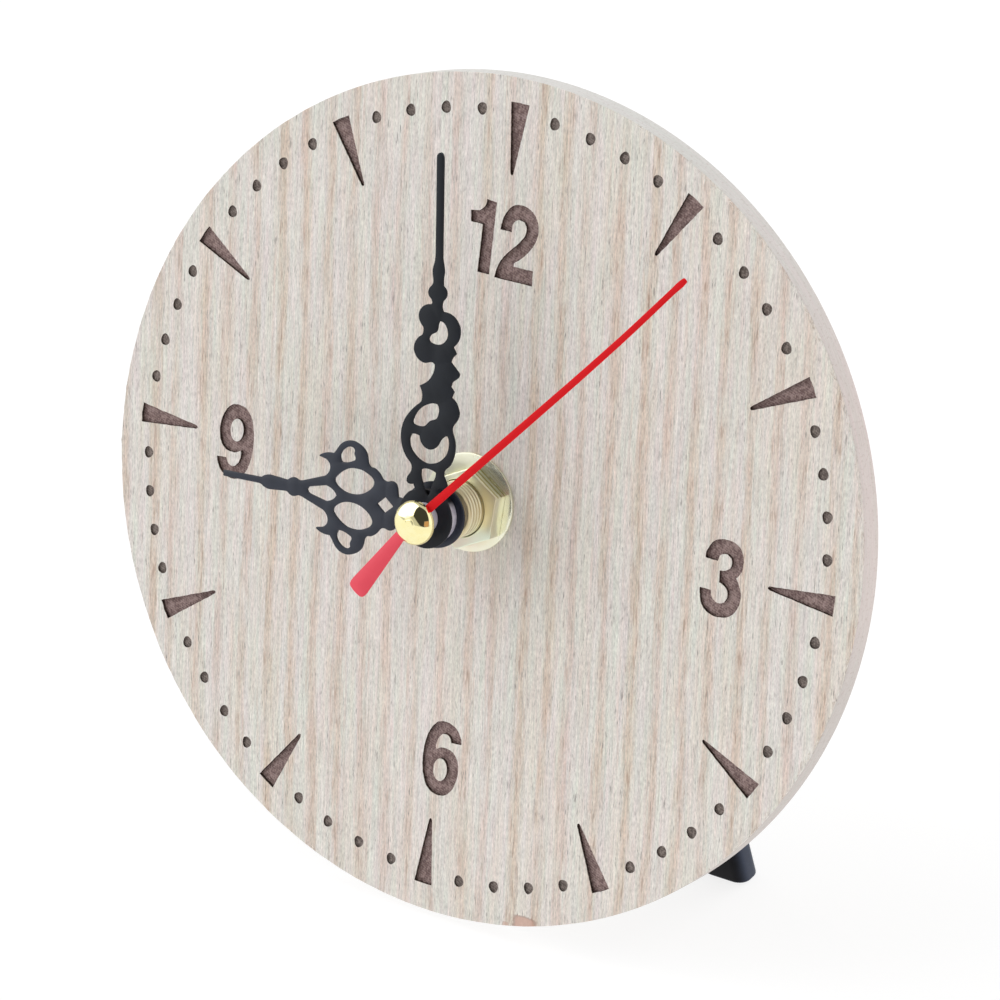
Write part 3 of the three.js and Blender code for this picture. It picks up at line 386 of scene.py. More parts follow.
def lacquer(name, colour, worn, rough, spec, grain=7.0, amount=0.1, coat=0.0):
    """Sprayed lacquer on thin metal: faint orange peel, dust specks and rubbed tone."""
    m = Mat(name)
    p = m.coords()
    peel = m.noise(p, grain, 2.0, 0.5)
    cloud = m.noise(p, 0.45, 3.0, 0.6)
    dust = m.noise(p, 5.5, 1.0)
    col = m.mix(m.remap(cloud, 0.35, 0.7, 0.0, 0.5), colour, worn)
    col = m.mix(m.remap(dust, 0.74, 0.8, 0.0, 0.25), col, worn)
    rr = m.math("ADD", rough, m.math("MULTIPLY", m.math("SUBTRACT", cloud, 0.5), 0.18))
    return m.finish(Base_Color=col, Roughness=rr, Specular_IOR_Level=spec, Coat_Weight=coat, Coat_Roughness=0.12, Normal=m.bump(peel, amount, 0.00006))


def plastic(name, colour, light, rough, spec=0.5, grain=4.0, amount=0.25):
    """Moulded plastic with a fine eroded texture and slight scuffing."""
    m = Mat(name)
    p = m.coords()
    tex = m.noise(p, grain, 3.0, 0.6)
    cell = m.voronoi(p, grain * 0.8)
    scuff = m.noise(m.scaled(p, (0.5, 0.9, 2.4)), 1.0, 4.0, 0.65)
    col = m.mix(m.remap(scuff, 0.45, 0.75, 0.0, 0.55), colour, light)
    rr = m.math("ADD", rough, m.math("MULTIPLY", m.math("SUBTRACT", scuff, 0.5), 0.22))
    return m.finish(Base_Color=col, Roughness=rr, Specular_IOR_Level=spec, Normal=m.bump(m.math("ADD", tex, m.math("MULTIPLY", cell, 0.5)), amount, 0.00006))


def stand_plastic():
    """Dark blue-black moulding, satin on its sides; faces turned to the board get painted shade, darker and less
    specular, and faces turned back a darker, greyer copy of the colour, toned down for the stronger light there.
    """
    m = Mat("stand_black")
    p = m.coords()
    tex = m.noise(p, 3.0, 3.0, 0.6)
    scuff = m.noise(m.scaled(p, (0.5, 0.9, 2.4)), 1.0, 4.0, 0.65)
    tc = m.t.nodes.new("ShaderNodeTexCoord")
    nx, ny, nz = m.xyz(tc.outputs["Normal"])
    # painted shade on the faces turned to the board, towards -Y: darker colour and lower specular
    front_shade_mask = m.remap(ny, -0.15, -0.8)
    side = m.mix(m.remap(scuff, 0.4, 0.75), srgb(44, 52, 70), srgb(54, 62, 80))
    painted_shade = m.mix(m.remap(scuff, 0.4, 0.75), srgb(10, 10, 14), srgb(17, 17, 22))
    spec = m.remap(front_shade_mask, 0.0, 1.0, 0.14, 0.05, smooth=False)
    rr = m.math("ADD", 0.45, m.math("MULTIPLY", m.math("SUBTRACT", scuff, 0.5), 0.2))
    # faces turned back: a darker, greyer copy of the colour, toned down for the stronger light they get
    behind = m.mix(m.remap(scuff, 0.4, 0.75), srgb(30, 33, 42), srgb(39, 42, 51))
    col = m.mix(m.remap(ny, 0.45, 0.9), m.mix(front_shade_mask, side, painted_shade), behind)
    return m.finish(Base_Color=col, Roughness=rr, Specular_IOR_Level=spec, Normal=m.bump(tex, 0.1, 0.00006))


WOOD = wood_face()
BURNT = burnt("burnt_floor", srgb(117, 97, 95), srgb(172, 151, 147), srgb(94, 77, 75))
# wall colours: scorch, with painted shade inside the pockets, so darker than the floors
BURNT_AND_SHADED_WALL = burnt("burnt_and_shaded_wall", srgb(62, 50, 46), srgb(96, 80, 74), srgb(44, 35, 31))
BURNT_DOT = burnt("burnt_dot", srgb(108, 99, 94), srgb(156, 145, 139), srgb(88, 79, 74))
DOT_WALL_BURNT_AND_SHADED = burnt("burnt_and_shaded_dot_wall", srgb(68, 60, 55), srgb(102, 92, 86), srgb(50, 43, 39))
EDGE = wood_edge()
BACK = wood_back()
FIBRE = fibre_pale()
BRASS = metal("brass_polished", srgb(250, 242, 190), srgb(246, 232, 160), 0.05, 0.06, 0.03)
# the nut: tan on one side of its front face, and a pale painted reflection of the floor along its bottom
BRASS_NUT = metal("brass_nut", srgb(250, 250, 226), srgb(245, 241, 198), 0.32, 0.2, 0.08, tan_side=srgb(247, 227, 184), metallic=0.92)
BRASS_PALE = metal("brass_pale", srgb(249, 249, 228), srgb(245, 243, 212), 0.3, 0.0, 0.02, 0.0, metallic=0.68, sheen=True)
# the groove colour is painted shade at the thread roots
THREAD = metal("brass_thread", srgb(244, 239, 212), srgb(237, 228, 190), 0.3, 0.2, 0.12, metallic=0.75, groove=srgb(190, 170, 118))
NICKEL = metal("nickel", srgb(214, 211, 224), srgb(190, 188, 204), 0.28, 0.4, 0.15)
COLLET = metal("collet_satin", srgb(224, 219, 231), srgb(208, 204, 217), 0.46, 0.3, 0.2, metallic=0.35)
# the near-black colour is painted shade for the top of the hour collet
COLLET_HOUR = collet("collet_hour", srgb(224, 219, 231), srgb(208, 204, 217), srgb(34, 34, 40))
STEEL = metal("steel", srgb(196, 196, 200), srgb(160, 160, 166), 0.32, 0.2, 0.25)
HAND_HOUR = lacquer("hand_black_hour", srgb(22, 30, 46), srgb(32, 40, 57), 0.42, 0.5)
HAND_MINUTE = lacquer("hand_black_minute", srgb(22, 26, 33), srgb(29, 34, 42), 0.5, 0.25)
HAND_RED = lacquer("hand_red", srgb(220, 21, 29), srgb(211, 17, 25), 0.5, 0.12, amount=0.05)
# the tail's lighter pink is a painted reflection of the bright light on the red lacquer
HAND_TAIL_PAINTED_REFLECTION = lacquer("hand_red_tail_painted_reflection", srgb(233, 58, 80), srgb(227, 50, 74), 0.42, 0.65, amount=0.05)
STAND = stand_plastic()
CASE = plastic("case_black", srgb(24, 24, 26), srgb(40, 40, 42), 0.5, 0.45, 3.2, 0.5)
KNOB = plastic("knob_black", srgb(20, 20, 21), srgb(34, 34, 35), 0.4, 0.5, 5.0, 0.2)
RUBBER = plastic("gasket_rubber", srgb(26, 25, 24), srgb(40, 39, 37), 0.85, 0.3, 2.4, 0.5)
WHITE = plastic("moulded_white", srgb(228, 226, 216), srgb(216, 212, 200), 0.45, 0.5, 4.0, 0.1)
AMBER = plastic("moulded_amber", srgb(216, 204, 168), srgb(204, 190, 150), 0.35, 0.5, 4.0, 0.1)
GREEN = plastic("board_green", srgb(38, 98, 54), srgb(52, 116, 66), 0.45, 0.5, 3.0, 0.2)
RESIN = plastic("chip_resin", srgb(16, 16, 17), srgb(26, 26, 27), 0.25, 0.5, 1.5, 0.2)
COPPER = metal("copper_wire", srgb(206, 124, 74), srgb(176, 96, 52), 0.3, 0.9, 0.15, 0.5)
BRASS_INNER = metal("brass_inner", srgb(226, 202, 128), srgb(206, 176, 100), 0.25, 0.5, 0.2)
SLEEVE = plastic("cell_sleeve", srgb(198, 203, 206), srgb(178, 184, 188), 0.28, 0.6, 1.2, 0.06)
SLEEVE_BAND = plastic("cell_band", srgb(62, 120, 92), srgb(70, 132, 102), 0.28, 0.6, 1.2, 0.06)


# ------------------------------------------------------------------ mesh helpers
def piece(name, verts, faces, mats, body, nodes=(), index=None, matrix=DIAL, sharp=32, slot=None):
    """A mesh in dial millimetres that rides on a body and stands for CAD nodes."""
    me = bpy.data.meshes.new(name)
    me.from_pydata([(x * MM, y * MM, z * MM) for x, y, z in verts], [], faces)
    for m in mats:
        me.materials.append(m)
    if index is not None:
        me.polygons.foreach_set("material_index", index)
    bm = bmesh.new()
    bm.from_mesh(me)
    bmesh.ops.recalc_face_normals(bm, faces=bm.faces)
    bm.to_mesh(me)
    bm.free()
    me.polygons.foreach_set("use_smooth", [True] * len(me.polygons))
    me.set_sharp_from_angle(angle=rad(sharp))
    me.update()
    ob = bpy.data.objects.new(name, me)
    bpy.context.scene.collection.objects.link(ob)
    ob.matrix_world = matrix
    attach(ob, body)
    if nodes:
        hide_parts(*nodes)
    return ob


def fillet(pts, radius, seg=3, closed=True):
    """Rounds the corners of a profile; radius is a number or one per point."""
    n = len(pts)
    rs = radius if isinstance(radius, (list, tuple)) else [radius] * n
    out = []
    for i, p in enumerate(pts):
        if rs[i] <= 0 or (not closed and i in (0, n - 1)):
            out.append(p)
            continue
        a, b, c = Vector(pts[i - 1]), Vector(p), Vector(pts[(i + 1) % n])
        d1, d2 = (a - b), (c - b)
        l1, l2 = d1.length, d2.length
        d1.normalize()
        d2.normalize()
        ang = d1.angle(d2)
        if ang > rad(175):
            out.append(p)
            continue
        t = min(rs[i] / math.tan(ang / 2), 0.45 * l1, 0.45 * l2)
        s, e = b + d1 * t, b + d2 * t
        for k in range(seg + 1):
            f = k / seg
            q = s * (1 - f) ** 2 + b * 2 * f * (1 - f) + e * f * f
            out.append((q.x, q.y))
    return out


def lathe(profile, n=64):
    """Vertices and faces of a (radius, y) profile turned about the shaft. A profile that starts and ends at radius 0 is capped; any other closes on itself."""
    verts, faces, rows = [], [], []
    open_ends = profile[0][0] < 1e-6
    for r, y in profile:
        if r < 1e-6:
            rows.append([len(verts)])
            verts.append((0, y, 0))
        else:
            rows.append(list(range(len(verts), len(verts) + n)))
            for i in range(n):
                a = 2 * math.pi * i / n
                verts.append((r * math.cos(a), y, r * math.sin(a)))
    m = len(rows)
    for k in range(m - 1 if open_ends else m):
        a, b = rows[k], rows[(k + 1) % m]
        for i in range(n):
            j = (i + 1) % n
            if len(a) == 1 and len(b) == 1:
                continue
            if len(a) == 1:
                faces.append((a[0], b[j], b[i]))
            elif len(b) == 1:
                faces.append((a[i], a[j], b[0]))
            else:
                faces.append((a[i], a[j], b[j], b[i]))
    return verts, faces


def area2(loop):
    return sum(a[0] * b[1] - b[0] * a[1] for a, b in zip(loop, loop[1:] + loop[:1])) / 2


def smooth_loop(pts, step=0.25, corner=50.0, straight=2.2):
    """A closed outline through the points: curved over short steps, straight over long ones, and sharp where it turns hard."""
    n = len(pts)
    P = [Vector((p[0], p[1])) for p in pts]
    seg = [P[(i + 1) % n] - P[i] for i in range(n)]
    length = [max(s.length, 1e-9) for s in seg]
    tangent = []
    for i in range(n):
        a, b, la, lb = seg[i - 1], seg[i], length[i - 1], length[i]
        turn = abs(math.degrees(math.atan2(a.x * b.y - a.y * b.x, a.dot(b))))
        if turn > corner or (la > straight and lb > straight):
            tangent.append(None)
        elif la > straight:
            tangent.append(a / la)
        elif lb > straight:
            tangent.append(b / lb)
        else:
            tangent.append((a / la * lb + b / lb * la).normalized())
    out = []
    for i in range(n):
        p1, p2, chord = P[i], P[(i + 1) % n], seg[i]
        t1, t2 = tangent[i], tangent[(i + 1) % n]
        m1 = t1 * length[i] if t1 is not None else None
        m2 = t2 * length[i] if t2 is not None else None
        if m1 is None and m2 is None:
            m1 = m2 = chord
        elif m1 is None:
            m1 = chord * 1.5 - m2 * 0.5
        elif m2 is None:
            m2 = chord * 1.5 - m1 * 0.5
        k = max(1, round(length[i] / (step if length[i] <= straight else 2.5)))
        for s in range(k):
            t = s / k
            q = (2 * t**3 - 3 * t**2 + 1) * p1 + (t**3 - 2 * t**2 + t) * m1 + (-2 * t**3 + 3 * t**2) * p2 + (t**3 - t**2) * m2
            out.append((q.x, q.y))
    return out


def inset(loop, d):
    """The outline moved d to its left at each point, so inwards on a counter-clockwise one."""
    n = len(loop)
    out = []
    for i in range(n):
        a, b, c = Vector(loop[i - 1]), Vector(loop[i]), Vector(loop[(i + 1) % n])
        e1, e2 = (b - a), (c - b)
        if e1.length < 1e-9 or e2.length < 1e-9:
            out.append(tuple(b))
            continue
        e1.normalize()
        e2.normalize()
        n1, n2 = Vector((-e1.y, e1.x)), Vector((-e2.y, e2.x))
        m = n1 + n2
        if m.length < 1e-6:
            m = n1.copy()
        m.normalize()
        out.append(tuple(b + m * min(d / max(m.dot(n1), 0.4), 2.0 * d)))
    return out


def triangulate(loops, inside):
    """Triangles of the area that inside(list of loop numbers) accepts, as indices into the joined loops."""
    coords, faces, at = [], [], 0
    for lp in loops:
        coords += [Vector(p) for p in lp]
        ids = list(range(at, at + len(lp)))
        faces.append(ids if area2(list(lp)) > 0 else ids[::-1])
        at += len(lp)
    vs, _, fs, ov, _, of = delaunay_2d_cdt(coords, [], faces, 1, 1e-7)
    back = [o[0] if o else None for o in ov]
    tris = []
    for f, o in zip(fs, of):
        if inside(set(o)):
            ids = [back[i] for i in f]
            if None not in ids:
                tris.append(tuple(ids))
    return tris


def plate(outline, holes, y_front, y_back, bevel=0.07, back_bevel=0.03):
    """A stamped plate with its edges rolled over: vertices and faces, front towards -Y."""
    loops = [outline if area2(outline) > 0 else outline[::-1]] + [h if area2(h) < 0 else h[::-1] for h in holes]
    shrunk, shrunk_b = [inset(lp, bevel) for lp in loops], [inset(lp, back_bevel) for lp in loops]
    mid = [inset(lp, bevel * 0.3) for lp in loops]
    tris = triangulate(shrunk, lambda s: s == {0})
    verts, faces = [], []
    n = sum(len(lp) for lp in loops)
    rows = ((shrunk, y_front), (mid, y_front + bevel * 0.3), (loops, y_front + bevel), (loops, y_back - back_bevel), (shrunk_b, y_back))
    for ring, y in rows:
        for lp in ring:
            verts += [(u, y, v) for u, v in lp]
    faces += [t for t in tris] + [tuple(4 * n + i for i in t[::-1]) for t in tris]
    at = 0
    for lp in loops:
        k = len(lp)
        for i in range(k):
            j = (i + 1) % k
            for row in range(4):
                a, b = row * n + at, (row + 1) * n + at
                faces.append((a + i, a + j, b + j, b + i))
        at += k
    return verts, faces


def cad_copy(node, mats, width=0.3, seg=2, name=None, angle=25):
    """The CAD piece with its flat faces joined up and its edges rounded over."""
    src = NODES[node]
    bm = bmesh.new()
    bm.from_mesh(src.data)
    bmesh.ops.remove_doubles(bm, verts=bm.verts, dist=2e-6)
    bmesh.ops.dissolve_limit(bm, angle_limit=rad(1.0), verts=bm.verts, edges=bm.edges)
    edges = [e for e in bm.edges if len(e.link_faces) == 2 and e.calc_face_angle(0) > rad(angle)]
    bmesh.ops.bevel(bm, geom=edges, offset=width * MM, segments=seg, affect="EDGES", profile=0.6, clamp_overlap=True)
    bmesh.ops.recalc_face_normals(bm, faces=bm.faces)
    me = bpy.data.meshes.new(name or node + "_visual")
    bm.to_mesh(me)
    bm.free()
    for m in mats:
        me.materials.append(m)
    me.polygons.foreach_set("material_index", [0] * len(me.polygons))
    me.polygons.foreach_set("use_smooth", [True] * len(me.polygons))
    me.set_sharp_from_angle(angle=rad(38))
    ob = bpy.data.objects.new(name or node + "_visual", me)
    bpy.context.scene.collection.objects.link(ob)
    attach(ob, BODY_OF[node])
    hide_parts(node)
    return ob


def turn_about_shaft(deg):
    return DIAL @ Matrix.Rotation(rad(deg), 4, "Y")


# ------------------------------------------------------------------ dial face
R = 59.97
DISC = (0.34, -0.355)  # the disc's own centre: the marks and the shaft sit a little off it
FACE_T, BOARD_T, SUNK = 0.93, 4.5, 0.5
U = 1.0144
rng = random.Random(7)


def unit(pts):
    return [(x * U, z * U) for x, z in pts]


ONE = unit([(-3.2, 41.8), (-1.65, 41.7), (-1.5, 31.8), (-3.35, 31.8), (-3.4, 38.35), (-5.25, 38.35), (-5.5, 39.9), (-4.1, 40.1), (-3.3, 41.0)])
TWO = unit([(-0.6, 38.2), (-0.5, 39.2), (0.1, 40.8), (1.0, 41.8), (2.2, 42.05), (3.5, 41.8), (4.5, 41.0), (5.1, 39.9), (5.25, 38.6), (4.9, 37.3), (4.2, 36.1), (3.2, 35.0), (2.1, 34.1), (2.1, 33.65), (5.15, 33.65), (5.3, 31.6), (-0.6, 31.6), (-0.5, 32.6), (-0.1, 33.8), (0.6, 34.9), (1.6, 36.0), (2.7, 37.2), (3.3, 38.2), (3.35, 39.2), (2.9, 39.9), (2.1, 40.05), (1.5, 39.7), (1.2, 39.1), (1.2, 38.2)])
THREE = unit([(36.45, 1.65), (36.4, 2.0), (36.8, 3.3), (37.4, 4.2), (38.2, 4.6), (39.2, 4.75), (40.3, 4.65), (41.2, 4.2), (41.8, 3.3), (42.05, 2.0), (41.95, 1.0), (41.3, -0.02), (41.8, -0.8), (42.3, -2.0), (42.3, -3.2), (41.9, -4.4), (41.2, -5.3), (40.0, -5.8), (38.5, -5.85), (37.4, -5.4), (36.6, -4.4), (36.3, -3.2), (36.2, -2.5), (37.9, -2.5), (38.0, -3.1), (38.4, -3.7), (39.0, -4.0), (39.7, -3.9), (40.2, -3.4), (40.4, -2.7), (40.2, -2.0), (39.7, -1.5), (38.9, -1.2), (38.75, 0.4), (39.6, 0.6), (40.2, 1.0), (40.4, 1.7), (40.2, 2.4), (39.6, 2.8), (39.0, 2.75), (38.5, 2.4), (38.3, 1.8), (38.25, 1.6)])
SIX = [(3.35, -34.0), (3.0, -33.0), (2.3, -32.1), (1.4, -31.65), (0.4, -31.5), (-0.6, -31.75), (-1.4, -32.5), (-2.0, -33.6), (-2.4, -35.0), (-2.55, -36.5), (-2.5, -38.2), (-2.2, -39.8), (-1.6, -41.2), (-0.8, -42.0), (0.4, -42.3), (1.6, -42.1), (2.5, -41.3), (3.1, -40.0), (3.35, -38.6), (3.25, -37.3), (2.8, -36.2), (2.0, -35.5), (1.0, -35.3), (0.2, -35.4), (-0.5, -35.8), (-0.6, -35.6), (-0.6, -34.8), (-0.3, -34.0), (0.2, -33.4), (0.8, -33.3), (1.3, -33.5), (1.6, -34.0), (1.75, -34.3), (3.35, -34.15)]
EYE = [(0.45 + 1.1 * math.cos(2 * math.pi * i / 14), -38.6 + 1.65 * math.sin(2 * math.pi * i / 14)) for i in range(14)]


def half_turn(pts):
    return [(-39.025 - (x - 0.4), -0.6 - (z + 36.9)) for x, z in pts]


def roughen(loop, step, amount, seed):
    """The outline in short steps, scorched a little unevenly."""
    out, n = [], len(loop)
    for i in range(n):
        a, b = Vector(loop[i]), Vector(loop[(i + 1) % n])
        if (b - a).length < 1e-6:
            continue
        e = (b - a).normalized()
        k = max(1, round((b - a).length / step))
        for t in range(k):
            q = a + (b - a) * t / k
            w = amount * noise.noise(Vector((q.x * 2.3, q.y * 2.3, seed)))
            out.append((q.x - e.y * w, q.y + e.x * w))
    return out


MARKS_AT = (0.08, -0.05)  # the ring of marks sits a little off the shaft
WEDGE_OFF = [(0.07, -0.21), (0.04, -0.15), (0.02, -0.24), (0.05, -0.11), (-0.04, -0.08), (0.0, -0.15), (-0.03, 0.02), (0.08, -0.19), (-0.02, -0.1), (0.2, -0.08), (0.14, -0.16), (0.15, -0.18)]


def mark_loops():
    """(pockets, islands): outlines of the sunk marks and of the eyes left standing in them."""
    marks = [roughen(smooth_loop(p, 0.3, 38), 0.35, 0.06, 4.1) for p in (ONE, TWO, THREE, unit(SIX), unit(half_turn(SIX)))]
    eyes = [smooth_loop(unit(EYE), 0.25), smooth_loop(unit(half_turn(EYE)), 0.25)]
    for i in range(60):
        a = 90 - 6 * i
        c, s = math.cos(rad(a)), math.sin(rad(a))
        if i % 5:
            x, z = 54.78 * c + (0.1 if 10 < i < 20 else 0.0), 54.78 * s + 0.01
            ph = rng.uniform(0, 6.28)
            marks.append([(x + (0.75 + 0.04 * math.sin(3 * t + ph)) * math.cos(t), z + (0.85 + 0.04 * math.sin(3 * t + ph)) * math.sin(t)) for t in (2 * math.pi * k / 24 for k in range(24))])
        else:
            dx, dz = WEDGE_OFF[i // 5]

            def at(r, w):
                return (r * c - w * s + dx, r * s + w * c + dz)
            base = [at(56.45, -1.44), at(56.52, 0), at(56.45, 1.44), at(46.95, 0.27), at(46.7, 0.17), at(46.6, 0), at(46.7, -0.17), at(46.95, -0.27)]
            marks.append(roughen(base, 0.4, 0.06, 7.3))
    place = lambda lp: [(x + MARKS_AT[0], z + MARKS_AT[1]) for x, z in lp]
    return [place(lp) for lp in marks], [place(lp) for lp in eyes]


def edge_wear(a):
    """How far the veneer's sawn edge is broken back at an angle, in millimetres."""
    f = noise.noise(Vector((math.cos(a) * 40, math.sin(a) * 40, 1.3))) * 0.5 + 0.5
    g = noise.noise(Vector((math.cos(a) * 11, math.sin(a) * 11, 8.3))) * 0.5 + 0.5
    return 0.05 + 0.13 * f * f + 0.16 * max(0.0, g - 0.55)


marks, eyes = mark_loops()
gouges = []
N_EDGE = 512


def rim(i, keep):
    """Point i of the disc's outline, with this share of the wear taken off."""
    a = 2 * math.pi * i / N_EDGE
    r = R - edge_wear(a) * keep
    return (DISC[0] + r * math.cos(a), DISC[1] + r * math.sin(a))


front_ring = [rim(i, 1.0) for i in range(N_EDGE)]
bore = [polar(4.2, 360 * i / 48) for i in range(48)]
loops = [front_ring, bore] + marks + gouges + eyes
n_marks, n_gouge = len(marks), len(gouges)
first_gouge, first_eye = 2 + n_marks, 2 + n_marks + n_gouge
flat_loops = [p for lp in loops for p in lp]
starts = [0]
for lp in loops:
    starts.append(starts[-1] + len(lp))
top = triangulate(loops, lambda s: s == {0} or any(k >= first_eye for k in s))
floors = triangulate(loops, lambda s: 0 in s and 1 not in s and any(2 <= k < first_gouge for k in s) and not any(k >= first_eye for k in s))
gouge_floor = triangulate(loops, lambda s: any(first_gouge <= k < first_eye for k in s))
verts = [(x, 0.0, z) for x, z in flat_loops]
faces, index = list(top), [0] * len(top)
n0 = len(verts)


def is_dot(k):
    return 7 <= k < first_gouge and (k - 7) % 5 != 0


def loop_of(i):
    return next(k for k in range(len(loops)) if i < starts[k + 1])


for k, lp in enumerate(loops):
    depth = SUNK if k < first_gouge or k >= first_eye else 0.22
    if is_dot(k):
        depth = 0.3
    verts += [(x, depth, z) for x, z in lp]
for t in floors:
    faces.append(tuple(n0 + i for i in t[::-1]))
    index.append(4 if is_dot(loop_of(t[0])) else 1)
for t in gouge_floor:
    faces.append(tuple(n0 + i for i in t[::-1]))
    index.append(3)
for k in range(2, len(loops)):
    a, b = starts[k], starts[k + 1]
    for i in range(a, b):
        j = i + 1 if i + 1 < b else a
        faces.append((i, j, n0 + j, n0 + i))
        index.append(3 if first_gouge <= k < first_eye else 5 if is_dot(k) else 2)
# broken outer edge, then the veneer's own thickness, and the back
rows = [list(range(0, N_EDGE))]
for y, keep in ((0.1, 0.45), (0.3, 0.08), (FACE_T, 0.0)):
    rows.append(list(range(len(verts), len(verts) + N_EDGE)))
    for i in range(N_EDGE):
        x, z = rim(i, keep)
        verts.append((x, y, z))
for k in range(3):
    for i in range(N_EDGE):
        j = (i + 1) % N_EDGE
        faces.append((rows[k][i], rows[k][j], rows[k + 1][j], rows[k + 1][i]))
        index.append(0 if k == 0 else 3)
bore_back = list(range(len(verts), len(verts) + 48))
verts += [(x, FACE_T, z) for x, z in bore]
for i in range(48):
    j = (i + 1) % 48
    faces.append((starts[1] + i, starts[1] + j, bore_back[j], bore_back[i]))
    index.append(3)
back_loops = [[(verts[i][0], verts[i][2]) for i in rows[3]], bore]
for t in triangulate(back_loops, lambda s: s == {0}):
    faces.append(tuple(rows[3][i] if i < N_EDGE else bore_back[i - N_EDGE] for i in t))
    index.append(3)
used = sorted({i for f in faces for i in f})
renum = {o: n for n, o in enumerate(used)}
piece("dial_face_visual", [verts[i] for i in used], [tuple(renum[i] for i in f) for f in faces], [WOOD, BURNT, BURNT_AND_SHADED_WALL, EDGE, BURNT_DOT, DOT_WALL_BURNT_AND_SHADED], "clock_body", ["dial_face"], index, sharp=25)

# loose fibres along the sawn edge of the veneer, most of them on the right
fv, ff = [], []
for i in range(190):
    a = rad(rng.uniform(-38, 62)) if i < 140 else rng.uniform(0, 2 * math.pi)
    r0 = R - rng.uniform(0.05, 0.45) - edge_wear(a) * 0.5
    length, width, lift = rng.uniform(0.35, 1.5), rng.uniform(0.03, 0.075), rng.uniform(0.02, 0.09)
    lean = rng.uniform(-0.35, 0.35)
    tx, tz = -math.sin(a + lean), math.cos(a + lean)
    px, pz = r0 * math.cos(a), r0 * math.sin(a)
    nx, nz = -tz, tx
    base = len(fv)
    for k in range(5):
        f = k / 4
        w = width * (1 - f) ** 0.6 * (0.4 + 0.6 * min(1, 4 * f + 0.3))
        cx, cz = px + tx * length * f + nx * 0.12 * f * f, pz + tz * length * f + nz * 0.12 * f * f
        over = max(0.0, math.hypot(cx, cz) - (R - 0.06))
        cx, cz = cx - over * math.cos(a), cz - over * math.sin(a)
        cx, cz = cx + DISC[0], cz + DISC[1]
        y = -lift * math.sin(math.pi * min(1, f * 1.1)) - 0.004
        fv += [(cx + nx * w, 0.01, cz + nz * w), (cx, y - w * 0.6, cz), (cx - nx * w, 0.01, cz - nz * w)]
    for k in range(4):
        b = base + 3 * k
        ff += [(b, b + 3, b + 4, b + 1), (b + 1, b + 4, b + 5, b + 2), (b + 2, b + 5, b + 3, b)]
    ff += [(base, base + 1, base + 2), (base + 12, base + 14, base + 13)]
piece("edge_fibres", fv, ff, [FIBRE], "clock_body", slot="veneer", sharp=60)

# ------------------------------------------------------------------ board behind the face
prof = fillet([(4.2, FACE_T), (R, FACE_T), (R, BOARD_T), (4.2, BOARD_T)], [0, 0.0, 0.4, 0.1], 5)
bv, bf = lathe(prof, 256)
mid_y = [sum(bv[i][1] for i in f) / len(f) for f in bf]
mid_r = [sum(math.hypot(bv[i][0], bv[i][2]) for i in f) / len(f) for f in bf]
bv = [(x + DISC[0], y, z + DISC[1]) if math.hypot(x, z) > 10 else (x, y, z) for x, y, z in bv]
piece("dial_core_visual", bv, bf, [EDGE, BACK], "clock_body", ["dial_core"], [1 if y > BOARD_T - 0.01 and r < R - 0.45 else 0 for y, r in zip(mid_y, mid_r)])

# ------------------------------------------------------------------ washer, nut, threaded bush
w_prof = fillet([(4.32, -0.01), (6.97, -0.01), (6.97, -0.55), (4.32, -0.55)], [0, 0.1, 0.14, 0.06], 3)
piece("washer_visual", *lathe(w_prof, 96), [BRASS_PALE], "clock_body", ["washer"], matrix=DIAL @ Matrix.Translation((0.1 * MM, 0, 0.2 * MM)))


def nut():
    """Plain hexagon nut with crisp edges and a small countersink at the thread."""
    back, front, bore_r = -0.6, -3.2, 4.06
    outer = []
    flats = fillet([polar(5.84, 28 + 60 * k) for k in range(6)], 0.16, 3)
    for i, p in enumerate(flats):
        q = flats[(i + 1) % len(flats)]
        far = math.hypot(q[0] - p[0], q[1] - p[1])
        k = 10 if far > 1 else 1
        outer += [(p[0] + (q[0] - p[0]) * s / k, p[1] + (q[1] - p[1]) * s / k) for s in range(k)]
    vs, fs = [], []
    for x, z in outer:
        r, a = math.hypot(x, z), math.atan2(z, x)
        inner = [(bore_r, back), (bore_r, front + 0.1), (bore_r + 0.05, front + 0.02), (bore_r + 0.09, front), (bore_r + 0.14, front)]
        rest = [(r - 0.14, front), (r - 0.085, front), (r - 0.025, front + 0.022), (r, front + 0.08), (r, back - 0.07), (r - 0.05, back)]
        vs += [(0.22 + q * math.cos(a), y, -0.15 + q * math.sin(a)) for q, y in inner]
        vs += [(0.66 + q * math.cos(a), y, -0.16 + q * math.sin(a)) for q, y in rest]
    k, n = 11, len(outer)
    for i in range(n):
        j = (i + 1) % n
        for row in range(k):
            nxt = (row + 1) % k
            fs.append((i * k + row, j * k + row, j * k + nxt, i * k + nxt))
    return vs, fs


piece("hex_nut_visual", *nut(), [BRASS_NUT], "clock_body", ["hex_nut"], sharp=24)


